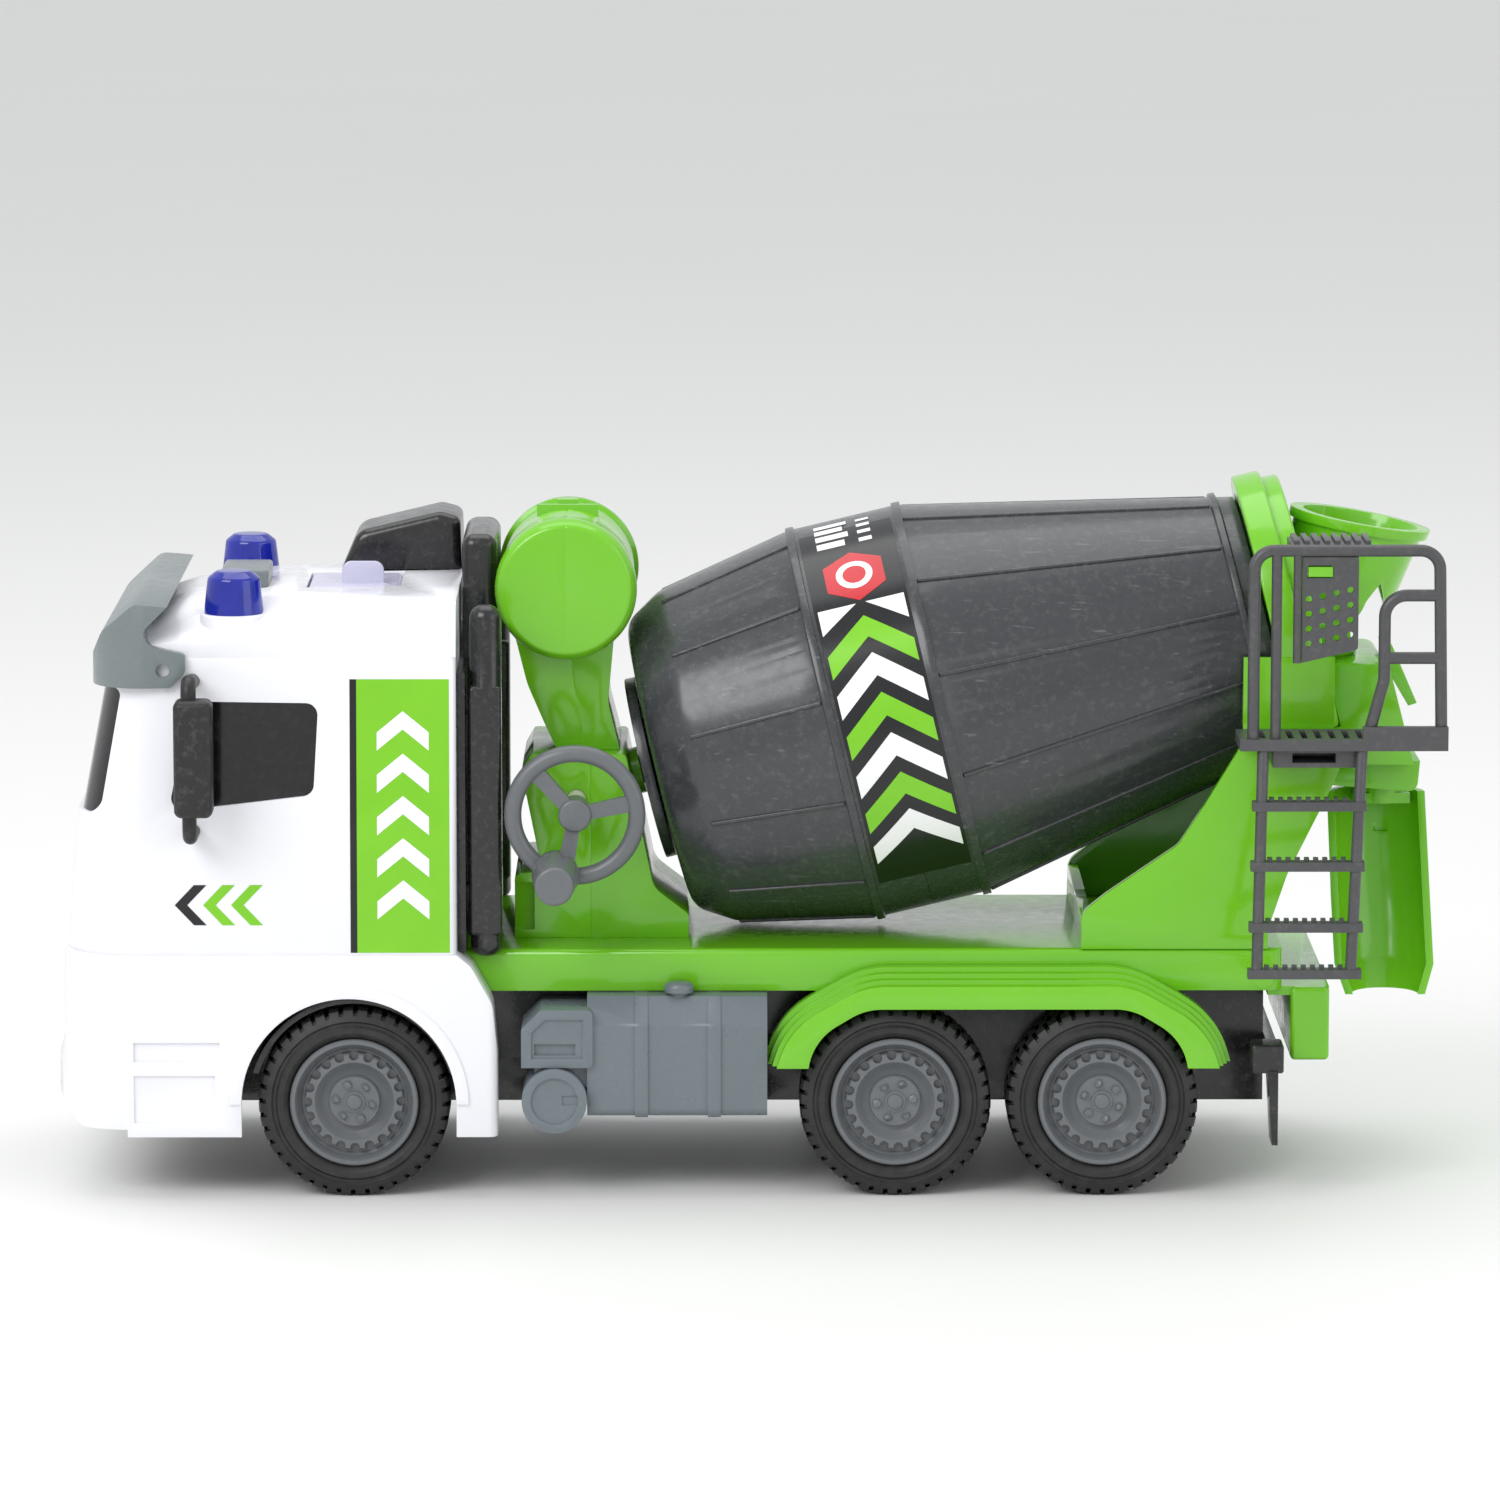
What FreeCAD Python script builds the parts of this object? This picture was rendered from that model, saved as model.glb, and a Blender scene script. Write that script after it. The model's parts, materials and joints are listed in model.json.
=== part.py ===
import FreeCAD, Part
import math
import os
from FreeCAD import Vector

# Toy cement mixer truck, millimetres. The front faces -X, the left side faces -Y, +Z is up.
# The origin lies on the ground, in the middle of the truck's length and width.

# ---- Driving dimensions -------------------------------------------------------------------
frontX = -145.0            # foremost point of the bumper
rearX = 145.0              # rearmost edge of the chute
mirrorReach = 58.0         # outer face of each mirror from the middle

wheelR = 20.0
wheelIn, wheelOut = 30.0, 44.0
frontAxleX, midAxleX, rearAxleX = -82.6, 30.3, 73.5
axleR = 1.5
runningGap = 0.05          # radial play of a shaft in its bearing

tubHalf = 28.0             # chassis tub, half width
tubFloorZ, tubTopZ = 17.5, 41.9
deckHalf, deckTopZ, deckLowZ = 34.0, 50.8, 42.0
deckFrontX, deckEndX = -60.0, 111.6

cabRearX = -61.0
cabHalf = 44.5
seamZ, roofSeamZ = 51.5, 113.5
wall = 2.0                 # usual wall of a moulded shell

tilt = math.radians(13.5)  # drum axis, rising to the rear
drumX, drumZ = 17.5, 93.3  # where the drum's front ring crosses its axis
ringR, ringGap = 42.8, 24.9
drumWall = 1.8
mouthR, mouthS = 27.3, 94.0   # drum mouth: outer radius, and distance from the front ring

gearTeeth, pinionTeeth, toothModule = 18, 12, 0.7
toothHeight, toothDepth, backlash = 0.4, 0.62, 0.13
crankX = -36.4             # crank shaft, square to the drum axis and crossing it
tankX, tankZ, tankR, tankHalf = -38.5, 124.9, 14.9, 22.0
chutePivotX = 134.5
platformNear, platformFar = -52.0, -37.0
floorTopZ = 97.8

crankZ = drumZ + (crankX - drumX) * math.tan(tilt)
axisU = Vector(math.cos(tilt), 0, math.sin(tilt))     # along the drum axis, to the rear
axisN = Vector(-math.sin(tilt), 0, math.cos(tilt))    # square to it, upward
drumO = Vector(drumX, 0, drumZ)
nodes = {}


# ---- Shape helpers ------------------------------------------------------------------------
def box(x0, x1, y0, y1, z0, z1):
    return Part.makeBox(x1 - x0, y1 - y0, z1 - z0, Vector(x0, y0, z0))


def softBox(x0, x1, y0, y1, z0, z1, radius):
    """Box with every edge rounded."""
    shape = box(x0, x1, y0, y1, z0, z1)
    return shape.makeFillet(radius, shape.Edges)


def corner(entry):
    return entry if len(entry) == 3 else (entry[0], entry[1], 0.0)


def loop(points, place):
    """Closed wire through (a, b, radius) corners; place turns (a, b) into a point."""
    corners = [corner(p) for p in points]
    spans = []
    for i, (a, b, radius) in enumerate(corners):
        here = Vector(a, b, 0)
        if radius == 0:
            spans.append((here, None, here))
            continue
        before = Vector(*corners[i - 1][:2], 0) - here
        after = Vector(*corners[(i + 1) % len(corners)][:2], 0) - here
        before.normalize()
        after.normalize()
        half = before.getAngle(after) / 2
        middle = (before + after).normalize()
        run = radius / math.tan(half)
        spans.append((here + before * run, here + middle * (radius / math.sin(half) - radius),
                      here + after * run))
    edges = []
    for i, (start, mid, end) in enumerate(spans):
        last = spans[i - 1][2]
        if (start - last).Length > 1e-6:
            edges.append(Part.makeLine(place(last.x, last.y), place(start.x, start.y)))
        if mid is not None:
            arc = Part.Arc(place(start.x, start.y), place(mid.x, mid.y), place(end.x, end.y))
            edges.append(arc.toShape())
    return Part.Wire(edges)


def prismY(points, y0, y1):
    """XZ outline pushed from y0 to y1."""
    wire = loop(points, lambda a, b: Vector(a, y0, b))
    return Part.Face(wire).extrude(Vector(0, y1 - y0, 0))


def prismX(points, x0, x1):
    """YZ outline pushed from x0 to x1."""
    wire = loop(points, lambda a, b: Vector(x0, a, b))
    return Part.Face(wire).extrude(Vector(x1 - x0, 0, 0))


def prismZ(points, z0, z1):
    """XY outline pushed from z0 to z1."""
    wire = loop(points, lambda a, b: Vector(a, b, z0))
    return Part.Face(wire).extrude(Vector(0, 0, z1 - z0))


def rodY(x, z, radius, y0, y1):
    return Part.makeCylinder(radius, y1 - y0, Vector(x, y0, z), Vector(0, 1, 0))


def rodX(y, z, radius, x0, x1):
    return Part.makeCylinder(radius, x1 - x0, Vector(x0, y, z), Vector(1, 0, 0))


def rodZ(x, y, radius, z0, z1):
    return Part.makeCylinder(radius, z1 - z0, Vector(x, y, z0), Vector(0, 0, 1))


def bar(points, radius, bend):
    """Round bar through points, with tangent arcs of radius bend at its corners."""
    parts = []
    last = points[0]
    for i in range(1, len(points) - 1):
        here = points[i]
        before = (points[i - 1] - here).normalize()
        after = (points[i + 1] - here).normalize()
        half = before.getAngle(after) / 2
        run = bend / math.tan(half)
        middle = (before + after).normalize()
        start, end = here + before * run, here + after * run
        parts.append(Part.makeLine(last, start))
        parts.append(Part.Arc(start, here + middle * (bend / math.sin(half) - bend), end).toShape())
        last = end
    parts.append(Part.makeLine(last, points[-1]))
    path = Part.Wire(parts)
    ring = Part.Wire([Part.makeCircle(radius, points[0], points[1] - points[0])])
    return path.makePipeShell([ring], True, False)


def turned(points, origin, along, across):
    """Solid of revolution: points are (station, radius) on the axis through origin."""
    wire = loop(points, lambda s, r: origin + along * s + across * r)
    return Part.Face(wire).revolve(origin, along, 360)


def loft(wires, ruled=True):
    """Solid through the wires, with its faces turned outward."""
    shape = Part.makeLoft(wires, True, ruled)
    if shape.Volume < 0:
        shape.reverse()
    return shape


def mirrored(shape):
    return shape.mirror(Vector(0, 0, 0), Vector(0, 1, 0))


def joined(shapes):
    result = shapes[0].multiFuse(shapes[1:]) if len(shapes) > 1 else shapes[0]
    return result.removeSplitter()


def keep(name, shape):
    nodes[name] = shape


def keepPair(name, leftShape):
    """The left piece and its mirror image on the right."""
    keep(name + "_left", leftShape)
    keep(name + "_right", mirrored(leftShape))


def onDrum(station, height, y=0.0):
    """Point at a station along the drum axis and a height square to it."""
    return drumO + axisU * station + axisN * height + Vector(0, y, 0)


# ---- Running gear -------------------------------------------------------------------------
def makeAxle(name, x):
    """Steel pin with two moulded hubs and two rubber tyres."""
    tyre = [(wheelIn, 12.6), (wheelIn, 17.5, 1.5), (wheelIn + 1.2, wheelR, 1.6),
            (wheelOut - 1.2, wheelR, 1.6), (wheelOut, 17.5, 1.5), (wheelOut, 13.5),
            (wheelOut - 1.6, 13.5), (wheelOut - 1.6, 12.6)]
    hub = [(wheelIn + 1.0, axleR), (wheelIn + 1.0, 4.5), (36.5, 4.5), (36.5, 12.0),
           (wheelIn + 1.0, 12.0), (wheelIn + 1.0, 12.6), (wheelOut - 1.6, 12.6),
           (wheelOut - 1.6, 13.4), (wheelOut - 0.4, 13.4), (wheelOut - 0.4, 12.0, 0.5),
           (40.6, 9.6), (40.6, 5.6), (41.6, 5.2), (41.6, axleR)]
    centre = Vector(x, 0, wheelR)
    tyres, hubs = [], []
    for side in (-1, 1):
        along = Vector(0, side, 0)
        tyres.append(turned(tyre, centre, along, Vector(0, 0, 1)))
        hubs.append(turned(hub, centre, along, Vector(0, 0, 1)))
    keep(name + "_pin", rodY(x, wheelR, axleR, -41.6, 41.6))
    keep(name + "_hubs", Part.makeCompound(hubs))
    keep(name + "_tyres", Part.makeCompound(tyres))


def makeChassis():
    """Open tub that carries the axles, with liners over the front wheels."""
    outer = box(-126, 108, -tubHalf, tubHalf, tubFloorZ, tubTopZ)
    inner = box(-124, 106, -tubHalf + wall, tubHalf - wall, tubFloorZ + wall, tubTopZ + 1)
    tub = outer.cut(inner)
    hangers = []
    for x in (frontAxleX, midAxleX, rearAxleX):
        for side in (-1, 1):
            hangers.append(rodY(x, wheelR, 3.4, side * 28.8 - 0.9, side * 28.8 + 0.9))
    ribs = [box(x - 1, x + 1, -tubHalf + 1, tubHalf - 1, tubFloorZ + 1, 30) for x in (-55, -32, 8, 52, 96)]
    tub = joined([tub] + hangers + ribs)
    for side in (-1, 1):
        liner = rodY(frontAxleX, wheelR, 22.0, 29.0, 42.0).cut(rodY(frontAxleX, wheelR, 20.8, 28.0, 43.0))
        liner = liner.cut(box(-120, -50, 25, 45, -10, 26))
        bridge = box(frontAxleX - 6, frontAxleX + 6, tubHalf - 1, 30, 40.9, tubTopZ)
        piece = joined([liner, bridge])
        tub = joined([tub, piece if side > 0 else mirrored(piece)])
    for x in (frontAxleX, midAxleX, rearAxleX):
        tub = tub.cut(rodY(x, wheelR, axleR + runningGap, -31, 31))
    doorHole = box(-28.2, 6.2, -20.2, 20.2, 15, tubFloorZ + wall + 1)
    tub = tub.cut(doorHole)
    seats = [(-116, 0), (-70, 20), (-70, -20), (100, 20), (100, -20)]
    for x, y in seats:
        tub = tub.cut(rodZ(x, y, 2.4, tubFloorZ - 1, tubFloorZ + 1.2))
    keep("chassis_frame", tub)
    screws = [rodZ(x, y, 2.2, tubFloorZ + 0.2, tubFloorZ + 1.2) for x, y in seats]
    screws = [s.cut(box(-0.3, 0.3, -1.6, 1.6, tubFloorZ, tubFloorZ + 0.7).translated(Vector(x, y, 0)))
              for s, (x, y) in zip(screws, seats)]
    keep("chassis_screws", Part.makeCompound(screws))
    door = box(-28, 6, -20, 20, tubFloorZ + 0.1, tubFloorZ + wall)
    for i in range(6):
        door = door.cut(box(-24 + i * 2.5, -23 + i * 2.5, -8, 8, tubFloorZ, tubFloorZ + 0.7))
    keep("battery_door", door)


def makeDeck():
    """Green deck tray with its rear shelf and cross bar."""
    side = [(-deckHalf, deckLowZ), (-deckHalf, deckTopZ, 1.5), (deckHalf, deckTopZ, 1.5), (deckHalf, deckLowZ)]
    plan = [(deckFrontX, -deckHalf), (deckEndX, -deckHalf, 3), (deckEndX, deckHalf, 3), (deckFrontX, deckHalf)]
    body = prismX(side, deckFrontX, deckEndX).common(prismZ(plan, 40, 52))
    body = body.cut(box(deckFrontX + wall, deckEndX - wall, -deckHalf + wall, deckHalf - wall,
                        deckLowZ - 1, deckTopZ - wall))
    shelf = box(deckEndX - 3, 121.5, -deckHalf + 2, deckHalf - 2, 40.6, 42.5)
    bar = softBox(113.4, 121.5, -deckHalf, deckHalf, 27.0, 42.5, 1.0)
    body = joined([body, shelf, bar])
    for y in (-33.2, 33.2):
        body = joined([body, rodY(107.5, 44.6, 2.2, y - 1.2, y + 1.2)])
    keep("deck", body)


def fenderOutline(grow):
    """Outer edge of a rear fender, moved outward by grow, as (x, z) corners with radii."""
    r = 17.0 + grow
    return [(5.5 - grow, 27.6), (8.2 - grow, 36.0 + grow * 0.5, r), (24.0, 45.0 + grow, r),
            (79.5, 45.0 + grow, r), (95.2 + grow, 36.0 + grow * 0.5, r), (97.9 + grow, 27.6)]


def makeFender():
    """Double fender over the two rear wheels: skin, outer lip and steps down from the deck."""
    steps = [(46.0, 0.0), (43.2, 0.9), (40.6, 1.8), (38.0, 2.7)]
    layers = []
    for reach, grow in steps:
        outline = fenderOutline(grow)
        layers.append(prismY(outline, -reach, -deckHalf - 0.05))
    skin = joined(layers)
    under = fenderOutline(-2.6)
    skin = skin.cut(prismY([(u[0], u[1] - (12 if i in (0, 5) else 0)) + tuple(u[2:])
                            for i, u in enumerate(under)], -44.6, -deckHalf + 1))
    lip = fenderOutline(-4.9)
    skin = skin.cut(prismY([(u[0], u[1] - (12 if i in (0, 5) else 0)) + tuple(u[2:])
                            for i, u in enumerate(lip)], -47, -44))
    keepPair("rear_fender", skin)


def makeTankLeft():
    """Fuel tank with straps and filler cap, filter box and air tank, in one moulding."""
    section = [(-28.2, 17.0), (-28.2, 41.8), (-38.5, 41.8, 1.0), (-43.8, 36.5, 1.5), (-43.8, 17.0, 2.0)]
    tank = prismX(section, -34, 3.6)
    strap = [(-28.4, 16.7), (-28.4, 41.9), (-38.7, 41.9, 1.0), (-44.4, 36.6, 1.5), (-44.4, 16.7, 2.2)]
    parts = [tank]
    for x0, x1 in ((-24.0, -21.3), (-8.8, -6.1)):
        parts.append(prismX(strap, x0, x1))
    panel = [(-47.7, 27.6), (-47.7, 35.8, 1.0), (-43.6, 39.8, 1.2), (-32.8, 39.8, 1.2), (-32.8, 27.6, 1.2)]
    parts.append(prismY(panel, -44.8, -28.2))
    parts.append(rodY(-40.8, 20.7, 6.8, -45.8, -28.2))
    parts.append(box(-45.0, -33.4, -42.0, -29.0, 23.0, 29.0))
    parts.append(turned([(38.5, 0), (38.5, 1.9), (42.2, 1.9), (42.2, 3.1, 0.4), (44.3, 3.1, 1.2), (44.6, 0)],
                        Vector(-14.8, -37.0, 0), Vector(0, 0, 1), Vector(1, 0, 0)))
    shape = joined(parts)
    recess = [(-45.6, 29.6), (-45.6, 35.0), (-42.8, 37.8), (-34.8, 37.8), (-34.8, 29.6)]
    shape = shape.cut(prismY(recess, -45.5, -44.3))
    shape = shape.cut(box(-45.0, -36.4, -46, -43.4, 30.2, 32.6))
    shape = shape.cut(rodY(-40.8, 20.7, 4.9, -46.5, -45.2))
    shape = shape.cut(box(-39.2, -35.8, -46.5, -44.9, 19.8, 21.8))
    keepPair("fuel_tank", shape)


def makeTail():
    """Black cross member with tail light boxes and mud flaps."""
    parts = [box(108.1, 110.2, -40, 40, 26.2, 31.8)]
    flap = [(108.1, 26.6), (110.2, 26.6), (110.2, 10.9), (109.0, 10.9)]
    for side in (-1, 1):
        y = 39.5 * side
        parts.append(softBox(104.7, 111.4, y - 4.0, y + 4.0, 26.0, 32.0, 0.6))
        parts.append(prismY(flap, y - 4.5, y + 4.5))
    keep("tail_light_bar", joined(parts))


# ---- Cab ----------------------------------------------------------------------------------
def cabPlan(front, half, z, frontRound, rear=cabRearX):
    points = [(rear, -half, 1.5), (front, -half, frontRound), (front, half, frontRound), (rear, half, 1.5)]
    return loop(points, lambda a, b: Vector(a, b, z))


def cabHull(inset):
    """Solid shape of the upper cab, drawn in by inset on every side."""
    low = cabPlan(-143.0 + inset, cabHalf - inset, seamZ, 15.0 - inset, cabRearX - inset)
    belt = cabPlan(-140.6 + inset, 43.4 - inset, 79.0, 15.0 - inset, cabRearX - inset)
    top = cabPlan(-134.2 + inset, 41.0 - inset, roofSeamZ, 15.0 - inset, cabRearX - inset)
    return loft([low, belt, top])


def above(p1, p2, p3):
    """Large block standing on the plane through three points."""
    normal = (p2 - p1).cross(p3 - p1)
    if normal.z < 0:
        normal = -normal
    block = Part.makeBox(200, 200, 60, Vector(-100, -100, 0))
    block.Placement = FreeCAD.Placement(p1, FreeCAD.Rotation(Vector(0, 0, 1), normal))
    return block


def roofHull(inset):
    """Roof from the rear edge to the brow, its shoulders falling towards the front."""
    d = inset
    side = [(cabRearX - d, roofSeamZ - d), (cabRearX - d, 124.8 - d), (-100.0, 124.2 - d, 60), (-118.0, 121.8 - d, 20),
            (-128.0 + d, 117.6 - d, 3), (-131.0 + d, roofSeamZ - d)]
    across = [(-41.0 + d, roofSeamZ - d), (-38.4 + d, 124.9 - d, 2.5), (38.4 - d, 124.9 - d, 2.5),
              (41.0 - d, roofSeamZ - d)]
    plan = [(cabRearX - d, -45, 0), (-133.6 + d, -41.0 + d, 15 - d), (-133.6 + d, 41.0 - d, 15 - d), (cabRearX - d, 45, 0)]
    hull = prismY(side, -45, 45).common(prismX(across, -140, -50)).common(prismZ(plan, 105, 130))
    for sign in (-1, 1):
        hull = hull.cut(above(Vector(-60, sign * (38.3 - d), 124.6 - d), Vector(-126, sign * (38.6 - d), 116.4 - d),
                              Vector(-126, sign * (22.0 - d), 122.4 - d)))
    return hull


sideWindow = [(-120.7, 81.4, 2.5), (-116.1, 104.4, 3.0), (-89.5, 104.0, 2.5), (-90.6, 84.9, 2.5)]
windscreenHalf, windscreenLow, windscreenHigh = 37.6, 80.5, 106.6


def windscreenCut():
    edge = [(-windscreenHalf - 2, windscreenLow, 3), (-windscreenHalf, windscreenHigh, 2),
            (windscreenHalf, windscreenHigh, 2), (windscreenHalf + 2, windscreenLow, 3)]
    return prismX(edge, -150, -124.5)


def makeCabUpper():
    """White cab shell with door, window and windscreen openings and its dark panes."""
    shell = cabHull(0).cut(cabHull(wall))
    shell = shell.cut(prismY(sideWindow, -50, 50)).cut(windscreenCut())
    shell = shell.cut(box(-134, cabRearX - 2.5, -30, 30, 110, 116))
    keep("cab_upper", shell)
    pane = cabHull(0.9).cut(cabHull(wall))
    frontPane = pane.common(windscreenCut())
    keep("windscreen", frontPane)
    keepPair("side_window", pane.common(prismY(sideWindow, -50, -30)))


def makeCabLower():
    """White bumper, steps and wheel arches in one moulding."""
    side = [(-140.0, 14.6, 3), (-145.0, 21.0, 6), (-145.0, 28.0, 6), (-143.2, 34.0), (-143.0, seamZ),
            (cabRearX, seamZ, 1), (-58.0, 49.0, 4), (-53.6, 41.0, 6), (-52.6, 30.0), (-52.6, 13.0),
            (-129.8, 13.0), (-129.8, 14.6)]
    plan = [(frontX, -45.0, 16), (frontX, 45.0, 16), (-52.6, 45.0, 2), (-52.6, -45.0, 2)]
    body = prismY(side, -45, 45).common(prismZ(plan, 10, 60))
    innerSide = [(-141.0, 16.6), (-141.0, seamZ + 1), (-62.0, seamZ + 1), (-62.0, 41.0), (-54.6, 39.0), (-54.6, 11.0),
                 (-127.8, 11.0), (-127.8, 16.6)]
    innerPlan = [(-143.0, -43.0, 14), (-143.0, 43.0, 14), (-54.6, 43.0), (-54.6, -43.0)]
    body = body.cut(prismY(innerSide, -43, 43).common(prismZ(innerPlan, 8, 62)))
    arch = rodY(-83.6, wheelR, 22.4, -50, 50)
    well = box(-106.0, -61.2, -50, 50, 5, wheelR)
    body = body.cut(joined([arch, well]))
    rim = rodY(-83.6, wheelR, 25.0, 43.2, 45.6).cut(rodY(-83.6, wheelR, 22.4, 43, 46))
    rim = rim.cut(box(-112, -50, 42, 47, -10, wheelR))
    body = joined([body, rim, mirrored(rim)])
    body = body.cut(box(-62.0, -50.0, -34.3, 34.3, 10, 52))
    step = box(-128.4, -111.5, -46, -44.4, 16.0, 26.0)
    tread = box(-128.4, -110.5, -46, -44.3, 29.0, 33.0)
    for cutter in (step, tread):
        body = body.cut(cutter).cut(mirrored(cutter))
    grilleHole = box(-147, -139, -22, 22, 36.0, 48.5)
    intake = box(-147, -139, -18, 18, 19.0, 25.0)
    body = body.cut(grilleHole).cut(intake)
    keep("cab_lower", body)
    slats = [box(-144.3, -141.2, -21.8, 21.8, 36.2 + 3.0 * i, 37.7 + 3.0 * i) for i in range(4)]
    ribs = [box(-143.0, -141.6, y - 0.8, y + 0.8, 36.2, 47.9) for y in (-16, -8, 0, 8, 16)]
    frame = box(-143.4, -141.2, -21.9, 21.9, 36.1, 48.4).cut(box(-150, -130, -20.6, 20.6, 37.4, 47.2))
    low = box(-144.0, -141.4, -17.9, 17.9, 19.1, 24.9).cut(box(-150, -143, -16.5, 16.5, 20.3, 23.7))
    tie = box(-141.0, -140.0, -6, 6, 20.0, 47.0)
    neck = [box(-141.8, -140.4, -5, 5, 20.0, 22.0), box(-141.8, -140.4, -5, 5, 38.0, 46.0)]
    keep("grille", joined(slats + ribs + [frame, low, tie] + neck))


def makeRoof():
    """White roof with its button opening, grey brow and centre box."""
    solid = roofHull(0)
    shell = solid.cut(roofHull(1.8))
    hole = box(-93.3, -73.5, -12.0, 12.0, 110, 130)
    shell = shell.cut(hole)
    pads = []
    for y in (-31, 31):
        pads.append(turned([(118.0, 0), (118.0, 7.4), (121.6, 7.0, 0.6), (121.6, 0)],
                           Vector(-107.4, y, 0), Vector(0, 0, 1), Vector(1, 0, 0)))
    pads = [p.cut(roofHull(1.0)) for p in pads]
    shell = joined([shell] + pads)
    keep("cab_roof", shell)
    visorSide = [(-137.4, 107.0, 1), (-120.0, 107.4, 1.5), (-117.0, 110.4, 2), (-117.0, 114.4, 1),
                 (-124.6, 116.2, 2), (-125.8, 119.0, 2), (-120.6, 124.2), (-127.5, 124.8, 3), (-134.6, 118.5, 5),
                 (-137.4, 112.0, 5)]
    plan = [(-136.9, -43.0, 13), (-136.9, 43.0, 13), (-110.0, 43.0), (-110.0, -43.0)]
    visor = prismY(visorSide, -43, 43).common(prismZ(plan, 100, 130))
    visor = visor.cut(cabHull(0)).cut(roofHull(-0.02))
    visor = visor.cut(prismX([(-31, 100), (-31, 116.0, 3), (-27, 122.5, 4), (27, 122.5, 4), (31, 116.0, 3), (31, 100)],
                             -126, -110).common(box(-150, -110, -40, 40, 113.5, 130)))
    for side in (-1, 1):
        visor = visor.cut(rodY(-121.6, 111.0, 1.4, side * 43 - 3, side * 43 + 3))
    visor = max(visor.Solids, key=lambda s: s.Volume)
    keep("sun_visor", visor)
    keep("roof_box", softBox(-111.6, -101.4, -9.0, 9.0, 121.0, 127.6, 0.8).cut(roofHull(0)))


def makeBeacons():
    lens = [(121.6, 0), (121.6, 6.2), (123.0, 6.1), (129.0, 5.4, 1.2), (130.4, 3.6, 1.2), (130.4, 0)]
    hollow = [(121.0, 0), (121.0, 4.9), (128.6, 4.3), (128.6, 0)]
    along, across = Vector(0, 0, 1), Vector(1, 0, 0)
    origin = Vector(-107.4, -31, 0)
    roof = roofHull(-0.02)
    keepPair("beacon_lens", turned(lens, origin, along, across).cut(turned(hollow, origin, along, across)).cut(roof))
    leds = []
    for y in (-31, 31):
        leds.append(turned([(121.6, 0), (121.6, 2.9), (122.6, 2.9), (122.6, 2.4), (125.6, 2.4, 1.5), (127.4, 0)],
                           Vector(-107.4, y, 0), along, across))
    keep("beacon_leds", Part.makeCompound([led.cut(roof) for led in leds]))


def makeButton():
    """Press button in the roof with its upright thumb tab."""
    pad = box(-93.0, -73.8, -11.7, 11.7, 119.6, 124.4)
    pad = pad.makeFillet(1.0, [e for e in pad.Edges if abs(e.BoundBox.ZLength) > 3 or e.BoundBox.ZMin > 124])
    tab = prismY([(-86.0, 123.0), (-86.0, 129.0, 2.0), (-77.2, 129.0, 2.0), (-77.2, 123.0)], -5.8, -4.4)
    keep("sound_button", joined([pad, tab]))


def makeMirror():
    """Rear-view mirror: slab housing on two curved arms."""
    housing = box(-118.6, -110.6, -mirrorReach, -51.0, 82.3, 106.7)
    housing = housing.makeFillet(1.6, housing.Edges)
    upper = bar([Vector(-115.6, -41.3, 108.6), Vector(-115.6, -53.5, 110.0), Vector(-115.6, -54.0, 104.0)], 1.6, 2.4)
    lower = bar([Vector(-115.6, -43.0, 77.5), Vector(-115.6, -53.5, 77.5), Vector(-115.6, -54.0, 85.0)], 1.5, 2.4)
    piece = joined([housing, upper, lower]).cut(cabHull(0))
    piece = max(piece.Solids, key=lambda s: s.Volume)
    keepPair("mirror", piece)


def makeCabBack():
    """Black rack behind the cab: back plate with the intake duct, and the roof scoop."""
    plate = box(-60.9, -59.2, -39.0, 39.0, 51.0, 110.0)
    duct = softBox(-60.4, -53.0, -17.0, 17.0, 51.0, 136.0, 2.6)
    foot = box(-60.4, -53.0, -17.0, 17.0, 51.0, 60.0)
    keep("cab_rack", joined([plate, duct, foot]))
    scoop = [(-87.0, 124.9), (-83.5, 133.0, 4), (-66.0, 137.2, 3), (-61.6, 136.0, 2), (-61.2, 124.9)]
    shape = prismY(scoop, 12.6, 33.4)
    shape = shape.makeFillet(2.0, [e for e in shape.Edges if e.BoundBox.YLength < 0.1 and e.BoundBox.ZMin > 126])
    keep("roof_scoop", shape.cut(roofHull(-0.05)))
    pipe = turned([(49.8, 0), (49.8, 3.3, 2.4), (123.8, 3.3, 3.0), (123.8, 0)],
                  Vector(-55.0, -34.9, 0), Vector(0, 0, 1), Vector(1, 0, 0))
    guard = box(-58.6, -51.7, -38.3, -31.5, 54.4, 107.0)
    guard = guard.makeFillet(1.0, guard.Edges)
    arms = [box(-60.9, -56.0, -37.0, -32.5, z, z + 3.0) for z in (62.0, 98.0)]
    exhaust = joined([pipe, guard] + arms).cut(box(-62, -59.15, -39.1, 0, 50, 111)).cut(cabHull(0))
    keepPair("exhaust", max(exhaust.Solids, key=lambda s: s.Volume))


# ---- Sound and light electronics in the cab -----------------------------------------------
def makeElectronics():
    board = box(-118.0, -88.0, -16.0, 16.0, 60.0, 61.6)
    chip = box(-106.0, -98.0, -4.0, 4.0, 61.6, 63.4)
    keep("circuit_board", joined([board, chip]))
    cone = [(62.4, 0), (62.4, 7.0), (64.8, 7.0), (66.6, 10.0), (67.6, 10.0), (67.6, 8.6), (66.4, 4.5), (66.4, 0)]
    keep("speaker", turned(cone, Vector(-76.0, 0, 0), Vector(0, 0, 1), Vector(1, 0, 0)))


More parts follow.
